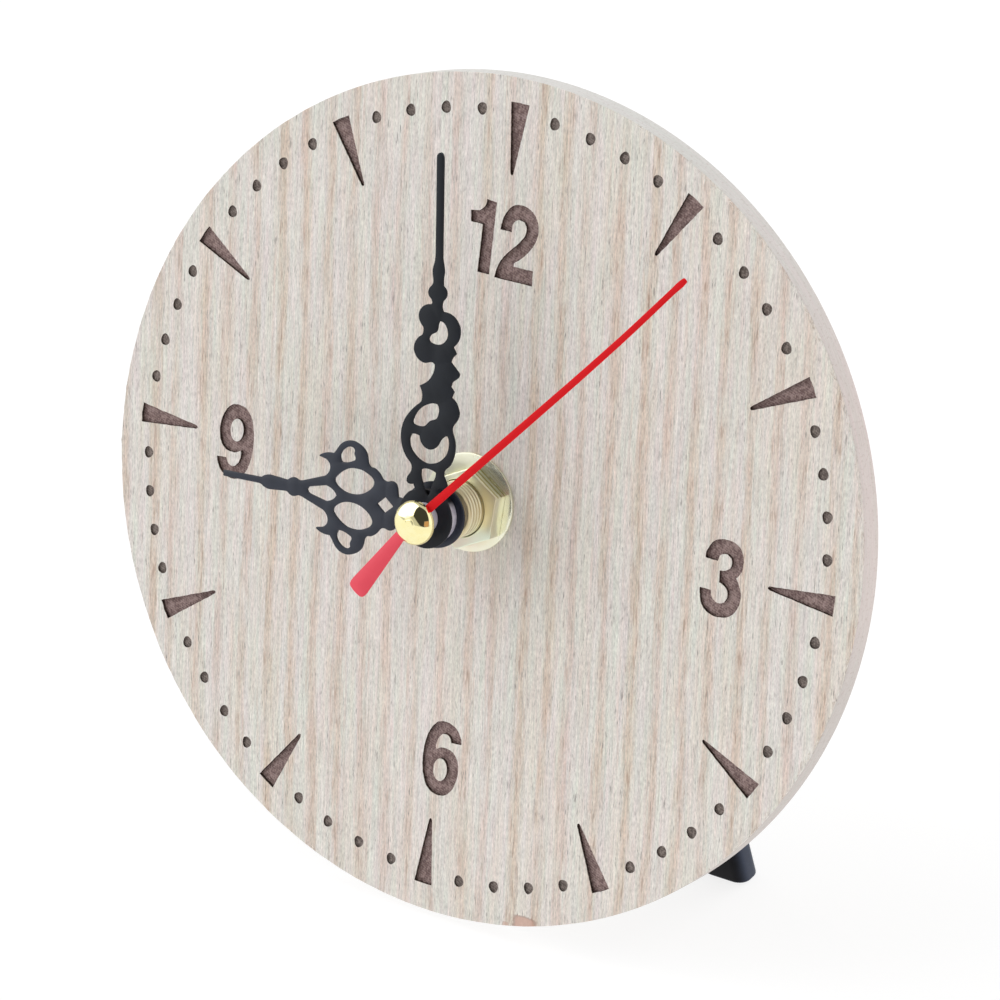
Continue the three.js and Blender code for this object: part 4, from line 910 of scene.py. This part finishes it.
def threaded_bush():
    """Bush with a cut thread on the front part, a chamfered end and a flange inside the case."""
    n, pitch, depth = 72, 0.74, 0.14
    y_end, y_in = -6.6, 6.6
    levels = []
    y = y_end + 0.32
    while y < y_in:
        levels.append(y)
        y += pitch / 9
    vs, fs, rows = [], [], []

    def ring(fn):
        rows.append(list(range(len(vs), len(vs) + n)))
        for i in range(n):
            r, yy = fn(i / n)
            a = 2 * math.pi * i / n
            # the outside stands a little off the bore in front of the board
            f = 0.0 if r < 3.0 else min(1.0, max(0.0, (3.0 - yy) / 3.0))
            vs.append((r * math.cos(a) + 0.22 * f, yy, r * math.sin(a) - 0.15 * f))

    ring(lambda t: (2.75, 8.55))
    ring(lambda t: (2.75, y_end + 0.1))
    ring(lambda t: (2.85, y_end))
    ring(lambda t: (3.5, y_end))
    ring(lambda t: (3.56, y_end + 0.03))
    for y in levels:
        def cut(t, y=y):
            f = ((y / pitch) - t) % 1.0
            tri = abs(2 * f - 1)
            tri = min(1.0, max(0.0, (tri - 0.12) / 0.72))
            lead = min(1.0, (y - y_end - 0.3) / 0.3 + 0.25)
            return (3.95 - depth * (1 - tri) - 0.25 * (1 - min(1, max(0, lead))), y)
        ring(cut)
    ring(lambda t: (3.72, y_in + 0.05))
    ring(lambda t: (3.95, y_in + 0.1))
    ring(lambda t: (3.95, 8.2))
    ring(lambda t: (5.5, 8.2))
    ring(lambda t: (5.6, 8.3))
    ring(lambda t: (5.6, 8.55))
    for k in range(len(rows)):
        a, b = rows[k], rows[(k + 1) % len(rows)]
        for i in range(n):
            j = (i + 1) % n
            fs.append((a[i], a[j], b[j], b[i]))
    return vs, fs


piece("threaded_bush_visual", *threaded_bush(), [THREAD], "clock_body", ["threaded_bush"], sharp=45)

# ------------------------------------------------------------------ hands
HOUR_HALF = [(1.4, 5.0), (1.45, 5.75), (2.1, 5.86), (2.75, 5.97), (3.2, 6.2), (3.45, 6.6), (3.48, 7.0), (3.3, 7.7), (3.38, 8.05), (4.3, 8.95), (4.8, 9.72), (4.95, 10.45), (5.3, 10.75), (6.0, 10.9), (6.75, 11.15), (7.4, 11.75), (7.9, 12.7), (8.08, 13.6), (7.8, 14.8), (7.25, 15.5), (6.45, 16.05), (5.85, 16.5), (5.8, 17.5), (5.55, 18.3), (5.22, 18.85), (5.05, 18.75), (4.95, 18.2), (4.8, 17.65), (4.5, 17.25), (4.0, 16.98), (3.5, 17.0), (2.75, 17.4), (2.4, 17.9), (1.3, 21.1), (1.1, 22.15), (1.3, 22.7), (1.33, 23.2), (1.15, 23.65), (0.86, 24.05), (0.82, 24.4), (1.03, 26.9), (0.8, 28.0), (0.5, 28.5), (0.45, 28.85), (0.42, 34.75), (0.34, 34.9)]
HOUR_OVAL = [(4.3, 12.6), (4.2, 11.6), (3.85, 10.7), (3.4, 9.95), (2.95, 9.67), (2.45, 9.72), (1.95, 10.05), (1.35, 10.75), (0.78, 11.95), (0.6, 13.3), (0.75, 14.4), (1.0, 15.0), (1.5, 15.75), (1.95, 16.08), (2.4, 16.08), (3.1, 15.45), (3.8, 14.5), (4.2, 13.6)]
HOUR_SCROLL = [(7.2, 13.9), (7.12, 13.3), (6.85, 13.05), (6.3, 13.12), (5.7, 12.88), (5.45, 12.95), (4.85, 14.65), (4.85, 15.05), (5.1, 15.24), (5.7, 15.37), (6.45, 15.05), (7.0, 14.4)]
HOUR_KITE = [(0, 15.72), (0.4, 16.0), (1.0, 17.0), (1.11, 17.54), (0.55, 20.0), (0.35, 20.45), (0, 20.62), (-0.35, 20.45), (-0.55, 20.0), (-1.11, 17.54), (-1.0, 17.0), (-0.4, 16.0)]
HOUR_DIAMOND = fillet([(0.0, 6.45), (1.12, 7.72), (-0.05, 9.03), (-1.15, 7.75)], 0.12, 3)


def drawn_out(pts):
    """The middle part of the hour hand a touch further from the shaft."""
    def f(z):
        return 0.13 * max(0.0, min(1.0, (z - 5.2) / 2.5, (23.0 - z) / 4.5))
    return [(x, z + f(z)) for x, z in pts]


def mirror(pts):
    return [(-x, z) for x, z in reversed(pts)]


def hub_arc(r, a0, n, low=0.0):
    """Round end of a hand's hub, drawn out by low at its bottom."""
    out = []
    for i in range(n):
        x, z = polar(r, (180 - a0) + (180 + 2 * a0) * i / (n - 1))
        out.append((x, z - low * max(0.0, -z / r)))
    return out


a0 = math.degrees(math.atan2(4.45, 1.4))
hour_line = smooth_loop(hub_arc(4.62, a0, 48, 0.26) + drawn_out(HOUR_HALF + mirror(HOUR_HALF)), 0.22, 48)
hour_holes = [[polar(2.98, 360 * i / 40) for i in range(40)]] + [smooth_loop(drawn_out(p), 0.2, 40) for p in (HOUR_OVAL, mirror(HOUR_OVAL), HOUR_SCROLL, mirror(HOUR_SCROLL), HOUR_KITE)] + [drawn_out(HOUR_DIAMOND)]
HOUR = turn_about_shaft(265.85)
piece("hour_hand_visual", *plate(hour_line, hour_holes, -9.6, -9.25), [HAND_HOUR], "hour", ["hour_hand"], matrix=HOUR, sharp=30)
h_col = fillet([(2.65, -11.05), (3.75, -11.05), (3.75, -9.62), (2.96, -9.62), (2.96, -9.23), (3.3, -9.23), (3.3, -7.65), (2.65, -7.65)], [0.08, 0.2, 0, 0, 0, 0, 0.15, 0.08], 3)
piece("hour_collet_visual", *lathe(h_col, 64), [COLLET_HOUR], "hour", ["hour_collet"])

MIN_RIGHT = [(1.75, 3.6), (2.1, 4.3), (2.98, 4.35), (3.2, 4.56), (3.2, 5.0), (2.62, 6.3), (2.65, 6.7), (3.59, 7.82), (4.0, 8.8), (4.19, 9.76), (4.14, 10.98), (3.62, 12.96), (4.41, 14.27), (4.59, 14.92), (4.4, 15.7), (3.97, 16.49), (3.26, 17.06), (3.6, 17.9), (3.06, 18.5), (3.19, 19.0), (4.28, 20.17), (4.3, 20.49), (2.88, 21.88), (2.98, 22.22), (3.68, 23.08), (3.13, 23.94), (3.65, 24.5), (4.0, 25.19), (4.11, 26.1), (4.01, 26.76), (3.61, 27.46), (3.09, 28.01), (2.41, 28.36), (1.3, 28.54), (1.15, 28.84), (1.2, 29.95), (1.65, 30.53), (1.73, 31.18), (1.47, 31.71), (1.16, 31.99), (1.09, 32.35), (1.16, 34.08), (0.8, 35.94), (0.29, 48.81), (0.2, 49.4), (-0.02, 49.76), (-0.22, 49.85)]
MIN_LEFT = [(-0.6, 49.7), (-0.83, 49.2), (-0.33, 36.8), (-0.38, 35.27), (-0.66, 34.02), (-0.56, 32.08), (-1.06, 31.46), (-1.2, 30.96), (-1.06, 30.44), (-0.58, 29.95), (-0.48, 29.53), (-0.57, 29.39), (-1.26, 29.24), (-1.86, 28.93), (-2.25, 28.5), (-2.47, 27.96), (-2.45, 27.2), (-2.07, 26.47), (-1.68, 26.02), (-1.65, 25.66), (-1.8, 25.06), (-2.34, 24.65), (-2.77, 24.12), (-3.04, 23.23), (-3.0, 22.71), (-2.73, 22.15), (-2.17, 21.55), (-1.28, 21.22), (0.16, 21.4), (0.38, 21.22), (0.39, 20.86), (0.17, 19.96), (-0.35, 19.09), (-1.84, 18.04), (-1.4, 17.04), (-1.36, 16.47), (-1.46, 15.97), (-2.23, 15.25), (-3.36, 14.04), (-3.91, 13.22), (-4.37, 11.94), (-4.47, 11.08), (-4.41, 10.21), (-4.03, 8.91), (-3.53, 8.05), (-2.5, 6.69), (-2.55, 6.19), (-3.19, 5.02), (-3.21, 4.56), (-2.98, 4.35), (-2.11, 4.36), (-1.75, 3.6)]
MIN_BOW = [(2.67, 11.71), (2.97, 11.63), (3.15, 11.22), (3.21, 10.25), (3.09, 9.64), (2.89, 9.15), (2.31, 8.44), (1.43, 7.83), (0.7, 7.59), (-0.02, 7.5), (-0.77, 7.65), (-1.89, 8.28), (-2.5, 8.85), (-2.78, 9.26), (-2.98, 9.9), (-3.02, 10.55), (-2.71, 11.24), (-1.95, 11.28), (-1.5, 11.15), (-1.24, 10.36), (-0.94, 9.96), (-0.41, 9.6), (0.35, 9.48), (0.73, 9.58), (1.24, 9.95), (2.06, 11.21)]
MIN_DROP = [(0.68, 15.9), (1.12, 15.84), (1.31, 15.54), (1.3, 14.37), (1.18, 14.04), (-0.01, 13.36), (-0.82, 12.58), (-1.95, 12.47), (-2.56, 12.65), (-2.65, 12.97), (-2.45, 13.61), (-1.95, 14.49), (-1.51, 14.96), (-0.53, 15.57)]
MIN_LOOP = [(0.85, 27.23), (1.29, 27.16), (1.73, 26.87), (1.95, 26.56), (2.16, 26.06), (2.18, 25.19), (1.87, 24.6), (1.35, 24.17), (0.77, 23.97), (0.01, 23.99), (-0.58, 24.23), (-0.73, 24.51), (-0.55, 25.01), (0.46, 25.79), (0.71, 26.99)]
MIN_GAP = [(-0.98, 6.5), (-0.7, 6.66), (1.0, 6.6), (1.4, 6.42), (1.36, 5.95), (0.95, 4.9), (0.66, 3.9), (0.46, 3.25), (0.28, 3.06), (0.08, 3.2), (-0.3, 3.85), (-0.65, 4.7), (-0.95, 5.7)]
a0 = math.degrees(math.atan2(3.597, 1.75))
min_line = smooth_loop(hub_arc(4.22, a0, 44, 0.08)[2:-2] + MIN_RIGHT + MIN_LEFT, 0.22, 48)
min_holes = [[polar(1.95, 360 * i / 32) for i in range(32)]] + [smooth_loop(p, 0.2, 48) for p in (MIN_BOW, MIN_DROP, MIN_LOOP, MIN_GAP)]
MINUTE = turn_about_shaft(-4.7)
piece("minute_hand_visual", *plate(min_line, min_holes, -11.8, -11.45), [HAND_MINUTE], "minute", ["minute_hand"], matrix=MINUTE, sharp=30)
m_col = fillet([(1.65, -13.1), (2.1, -13.1), (2.1, -11.82), (1.93, -11.82), (1.93, -11.43), (2.2, -11.43), (2.2, -10.82), (1.65, -10.82)], [0.06, 0.14, 0, 0, 0, 0, 0.1, 0.06], 3)
piece("minute_collet_visual", *lathe(m_col, 48), [COLLET], "minute", ["minute_collet"], matrix=MINUTE)

SECOND = turn_about_shaft(40.9)
KINK = rad(8.4)


def tail(d, w):
    return (d * math.sin(KINK) + w * math.cos(KINK), -d * math.cos(KINK) + w * math.sin(KINK))


ARM_BOW = [(54.1, -0.06), (52, -0.04), (50, 0.02), (46, 0.14), (42, 0.23), (38, 0.25), (34, 0.26), (30, 0.24), (26, 0.21), (22, 0.17), (18, 0.13), (14, 0.09), (10, 0.05), (5.7, 0.02)]
TAIL_EDGE = [(3.4, 0.79), (8.0, 1.1), (13.4, 1.47), (14.0, 1.45), (14.4, 1.3), (14.62, 1.0), (14.7, 0.5)]


def arm_side(k):
    return [(dx + k * (0.39 + 0.2 * (54.1 - z) / 51.9), z) for z, dx in ARM_BOW]


sec_line = [(0.28, 54.36), (0.1, 54.46), (-0.22, 54.46), (-0.4, 54.36)] + arm_side(-1) + [(-0.6, 2.2), (-1.1, 1.2), (-1.3, 0), tail(1.2, -1.0)]
sec_line += [tail(d, -0.3 - w) for d, w in TAIL_EDGE] + [tail(d, -0.3 + w) for d, w in reversed(TAIL_EDGE)]
sec_line += [tail(1.2, 0.85), (1.3, 0), (1.1, 1.2), (0.62, 2.2)] + arm_side(1)[::-1]
sec_line = smooth_loop(sec_line[::-1], 0.5, 35)
sv, sf = plate(sec_line, [], -14.35, -14.05, 0.08, 0.04)
# tail faces take the lighter pink material, a painted reflection
piece("second_hand_visual", sv, sf, [HAND_RED, HAND_TAIL_PAINTED_REFLECTION], "second", ["second_hand"], [1 if sum(sv[i][2] for i in f) / len(f) < -0.8 else 0 for f in sf], matrix=SECOND, sharp=30)
s_tub = fillet([(0.75, -14.0), (1.25, -14.0), (1.25, -13.3), (0.75, -13.3)], 0.07, 2)
piece("second_tube_visual", *lathe(s_tub, 40), [NICKEL], "second", ["second_tube"], matrix=SECOND)

# domed cap: thin brim, even dome, a low button with a soft groove round it
cap = [(0, -14.4), (2.96, -14.4), (3.03, -14.43), (3.07, -14.5), (3.08, -14.6), (3.07, -14.7)]
for i in range(1, 15):
    a = rad(90 * (1 - i / 17.5))
    cap.append((3.07 * math.sin(a), -14.7 - 1.42 * math.cos(a)))
y = cap[-1][1]
cap += [(0.84, y - 0.02), (0.77, y - 0.02), (0.71, y - 0.026), (0.64, y - 0.045), (0.55, y - 0.064), (0.44, y - 0.074), (0.32, y - 0.078), (0.22, y - 0.074), (0.12, y - 0.068), (0, y - 0.066)]
piece("centre_cap_visual", *lathe(cap, 72), [BRASS], "second", ["centre_cap"], matrix=DIAL @ Matrix.Translation((0.18 * MM, 0, -0.2 * MM)), sharp=40)

# ------------------------------------------------------------------ stand, case, back
def stand():
    """Plate behind the board with two round-cornered legs that lean forward going up; the feet are rounded over where they stand."""
    c, s, low = math.cos(LEAN), math.sin(LEAN), 60 * math.cos(math.pi / 96) - DISC[1]
    near, far, top, depth, slope = 28.7, 36.1, 43.0, 5.0, math.tan(rad(22))
    round_r, corner = 0.65, 1.85
    outline = fillet([(-far, -24), (far, -24), (far, 12), (-far, 12)], [0.8, 0.8, 4.0, 4.0], 6)
    vs, fs = plate(outline, [[polar(4.2, 360 * i / 48) for i in range(48)]], 5.2, 6.7, 0.2, 0.3)
    steps = [(round_r * (1 - math.cos(rad(15 * i))), round_r * (1 - math.sin(rad(15 * i)))) for i in range(7)]
    steps += [(round_r + (top - round_r) * i / 10, 0.0) for i in range(1, 11)]
    for side in (-1, 1):
        x0, x1 = (near, far) if side > 0 else (-far, -near)
        rows = []
        for up_mm, q in steps:
            f0 = 26.2 - slope * up_mm
            rho = min(corner, depth / 2 - q - 0.03)
            flat = []
            for cx, cb, a in ((x1 - q - rho, f0 + depth - q - rho, 0), (x0 + q + rho, f0 + depth - q - rho, 90), (x0 + q + rho, f0 + q + rho, 180), (x1 - q - rho, f0 + q + rho, 270)):
                for i in range(9):
                    dx, db = polar(rho, a + 90 * i / 8)
                    flat.append((cx + dx, cb + db))
            rows.append(list(range(len(vs), len(vs) + len(flat))))
            vs += [(x, max(5.6, BOARD_T + b * c - up_mm * s), -low + b * s + up_mm * c) for x, b in flat]
        for lower, upper in zip(rows, rows[1:]):
            n = len(lower)
            fs += [(lower[i], lower[(i + 1) % n], upper[(i + 1) % n], upper[i]) for i in range(n)]
        fs += [tuple(rows[0][::-1]), tuple(rows[-1])]
    return vs, fs


piece("stand_visual", *stand(), [STAND], "clock_body", ["stand_bracket"], sharp=38)
cad_copy("front_case", [CASE], 0.35, 3)
cad_copy("back_cover", [CASE], 0.2, 2)
cad_copy("setting_knob", [KNOB], 0.12, 2)
cad_copy("rubber_gasket", [RUBBER], 0.12, 2)
cad_copy("contact_positive", [NICKEL], 0.06, 2)
cad_copy("contact_negative", [NICKEL], 0.06, 2)

# battery: sleeve with shrunk ends, a plain band, and bright end caps
BX = Matrix.Rotation(rad(-90), 4, "Z")
CELL = DIAL @ Matrix.Translation((0, 15.35 * MM, -18.9 * MM)) @ BX
h = 25.0
cell = [(0, -h + 0.25), (5.5, -h + 0.25), (5.8, -h + 0.05), (6.1, -h), (6.6, -h), (6.85, -h + 0.1), (7.02, -h + 0.3), (7.1, -h + 0.7), (7.1, -14.0), (7.1, 12.0), (7.1, h - 2.3), (7.04, h - 1.9), (6.85, h - 1.6), (6.5, h - 1.45), (5.6, h - 1.42), (5.5, h - 1.5), (3.1, h - 1.45), (2.85, h - 1.3), (2.75, h - 1.0), (2.72, h - 0.25), (2.6, h - 0.06), (2.35, h), (0, h)]
cv, cf = lathe(cell, 72)
ci = []
for f in cf:
    y = sum(cv[i][1] for i in f) / len(f)
    r = sum(math.hypot(cv[i][0], cv[i][2]) for i in f) / len(f)
    ci.append(2 if r < 5.75 or y < -h + 0.06 else (1 if 12.0 < y < h - 1.0 else 0))
piece("battery_visual", cv, cf, [SLEEVE, SLEEVE_BAND, NICKEL], "cell", ["battery"], ci, matrix=CELL, sharp=40)

# inner works: CAD shapes with their own finishes
for node, mat in {
    "train_plate": WHITE, "hour_wheel": WHITE, "motion_wheel": WHITE, "rotor_pinion": WHITE, "coil_bobbin": WHITE,
    "centre_wheel": AMBER, "third_wheel": AMBER, "seconds_wheel": AMBER, "intermediate_wheel": AMBER,
    "cannon_pinion": BRASS_INNER, "clutch_spring": STEEL, "rotor_magnet": STEEL, "stator": STEEL, "coil_core": STEEL, "quartz_crystal": STEEL,
    "coil_winding": COPPER, "circuit_board": GREEN, "chip_cover": RESIN,
}.items():
    ob = NODES[node]
    for s in ob.material_slots:
        s.material = mat

# ------------------------------------------------------------------ floor and light
fm = Mat("floor")
fp = fm.coords(scale=1.0)
tone = fm.noise(fp, 3.0, 2.0)
fm.finish(Base_Color=fm.mix(fm.remap(tone, 0.3, 0.7), (0.22, 0.22, 0.22, 1),(0.24, 0.24, 0.238, 1)), Roughness=0.9, Specular_IOR_Level=0.1, Emission_Color=(1, 1, 1, 1), Emission_Strength=0.82)
me = bpy.data.meshes.new("floor")
me.from_pydata([(-6, -6, 0), (6, -6, 0), (6, 6, 0), (-6, 6, 0)], [], [(0, 1, 2, 3)])
me.materials.append(fm.mat)
floor = bpy.data.objects.new("floor", me)
bpy.context.scene.collection.objects.link(floor)

world = bpy.data.worlds.new("studio")
bpy.context.scene.world = world
world.use_nodes = True
wt = world.node_tree
wt.nodes.clear()
wo = wt.nodes.new("ShaderNodeOutputWorld")
bg = wt.nodes.new("ShaderNodeBackground")
wt.links.new(bg.outputs[0], wo.inputs[0])
sky = wt.nodes.new("ShaderNodeTexCoord").outputs["Generated"]


def sight(azimuth, elevation):
    """Direction to a point of the sky; azimuth 0 is in front of the dial, 90 to its right."""
    az, el = rad(azimuth), rad(elevation)
    return Vector((math.sin(az) * math.cos(el), -math.cos(az) * math.cos(el), math.sin(el)))


def sky_ramp(normal, lo, hi):
    """From 0 to 1 as the direction's share along the normal goes from lo to hi."""
    dot = wt.nodes.new("ShaderNodeVectorMath")
    dot.operation = "DOT_PRODUCT"
    wt.links.new(sky, dot.inputs[0])
    dot.inputs[1].default_value = normal
    edge = wt.nodes.new("ShaderNodeMapRange")
    edge.interpolation_type = "SMOOTHSTEP"
    wt.links.new(dot.outputs["Value"], edge.inputs[0])
    edge.inputs[1].default_value = lo
    edge.inputs[2].default_value = hi
    return edge.outputs[0]


def laid(level, mask, value):
    lay = wt.nodes.new("ShaderNodeMix")
    lay.data_type = "FLOAT"
    wt.links.new(mask, lay.inputs[0])
    if isinstance(level, float):
        lay.inputs[2].default_value = level
    else:
        wt.links.new(level, lay.inputs[2])
    lay.inputs[3].default_value = value
    return lay.outputs[0]


def round_mask(azimuth, elevation, radius, soft):
    return sky_ramp(sight(azimuth, elevation), math.cos(rad(radius + soft)), math.cos(rad(max(0, radius - soft))))


def straight_mask(corners, soft):
    """A straight-sided panel between the corners."""
    pts = [sight(*c) for c in corners]
    middle = sum(pts, Vector((0, 0, 0)))
    mask = None
    for a, b in zip(pts, pts[1:] + pts[:1]):
        n = a.cross(b).normalized()
        side = sky_ramp(n if n.dot(middle) > 0 else -n, -math.sin(rad(soft)), math.sin(rad(soft)))
        if mask is None:
            mask = side
        else:
            both = wt.nodes.new("ShaderNodeMath")
            both.operation = "MULTIPLY"
            wt.links.new(mask, both.inputs[0])
            wt.links.new(side, both.inputs[1])
            mask = both.outputs[0]
    return mask


glow = laid(0.6, round_mask(90, 26, 34, 12), 1.15)
glow = laid(glow, straight_mask([(-22, 20), (-43, 6), (-80, -4), (-100, 28), (-112, 50), (-28, 73)], 1.5), 2.35)
glow = laid(glow, straight_mask([(-22, 20), (2.5, 1.5), (47, -5), (60, 17), (85, 62), (-28, 73)], 1.5), 0.05)
glow = laid(glow, round_mask(-33, 3, 10, 5), 1.0)
warm = straight_mask([(22, 17), (60, 21), (47, -4), (19, 2)], 2.0)
glow = laid(glow, warm, 0.6)
wt.links.new(glow, bg.inputs[1])
hue = wt.nodes.new("ShaderNodeMix")
hue.data_type = "RGBA"
wt.links.new(warm, hue.inputs[0])
hue.inputs[6].default_value = (1, 1, 1, 1)
hue.inputs[7].default_value = (1, 0.55, 0.3, 1)
wt.links.new(hue.outputs[2], bg.inputs[0])


def soft_box(name, at, aim, size, power, colour=(1, 1, 1)):
    d = bpy.data.lights.new(name, "AREA")
    d.shape = "RECTANGLE"
    d.size, d.size_y = size
    d.energy = power
    d.color = colour
    o = bpy.data.objects.new(name, d)
    bpy.context.scene.collection.objects.link(o)
    o.location = at
    o.rotation_mode = "QUATERNION"
    o.rotation_quaternion = (Vector(aim) - Vector(at)).to_track_quat("-Z", "Y")
    return o


soft_box("behind", (0.5, 1.1, 0.9), (0, 0, 0.06), (0.9, 0.7), 5.0)
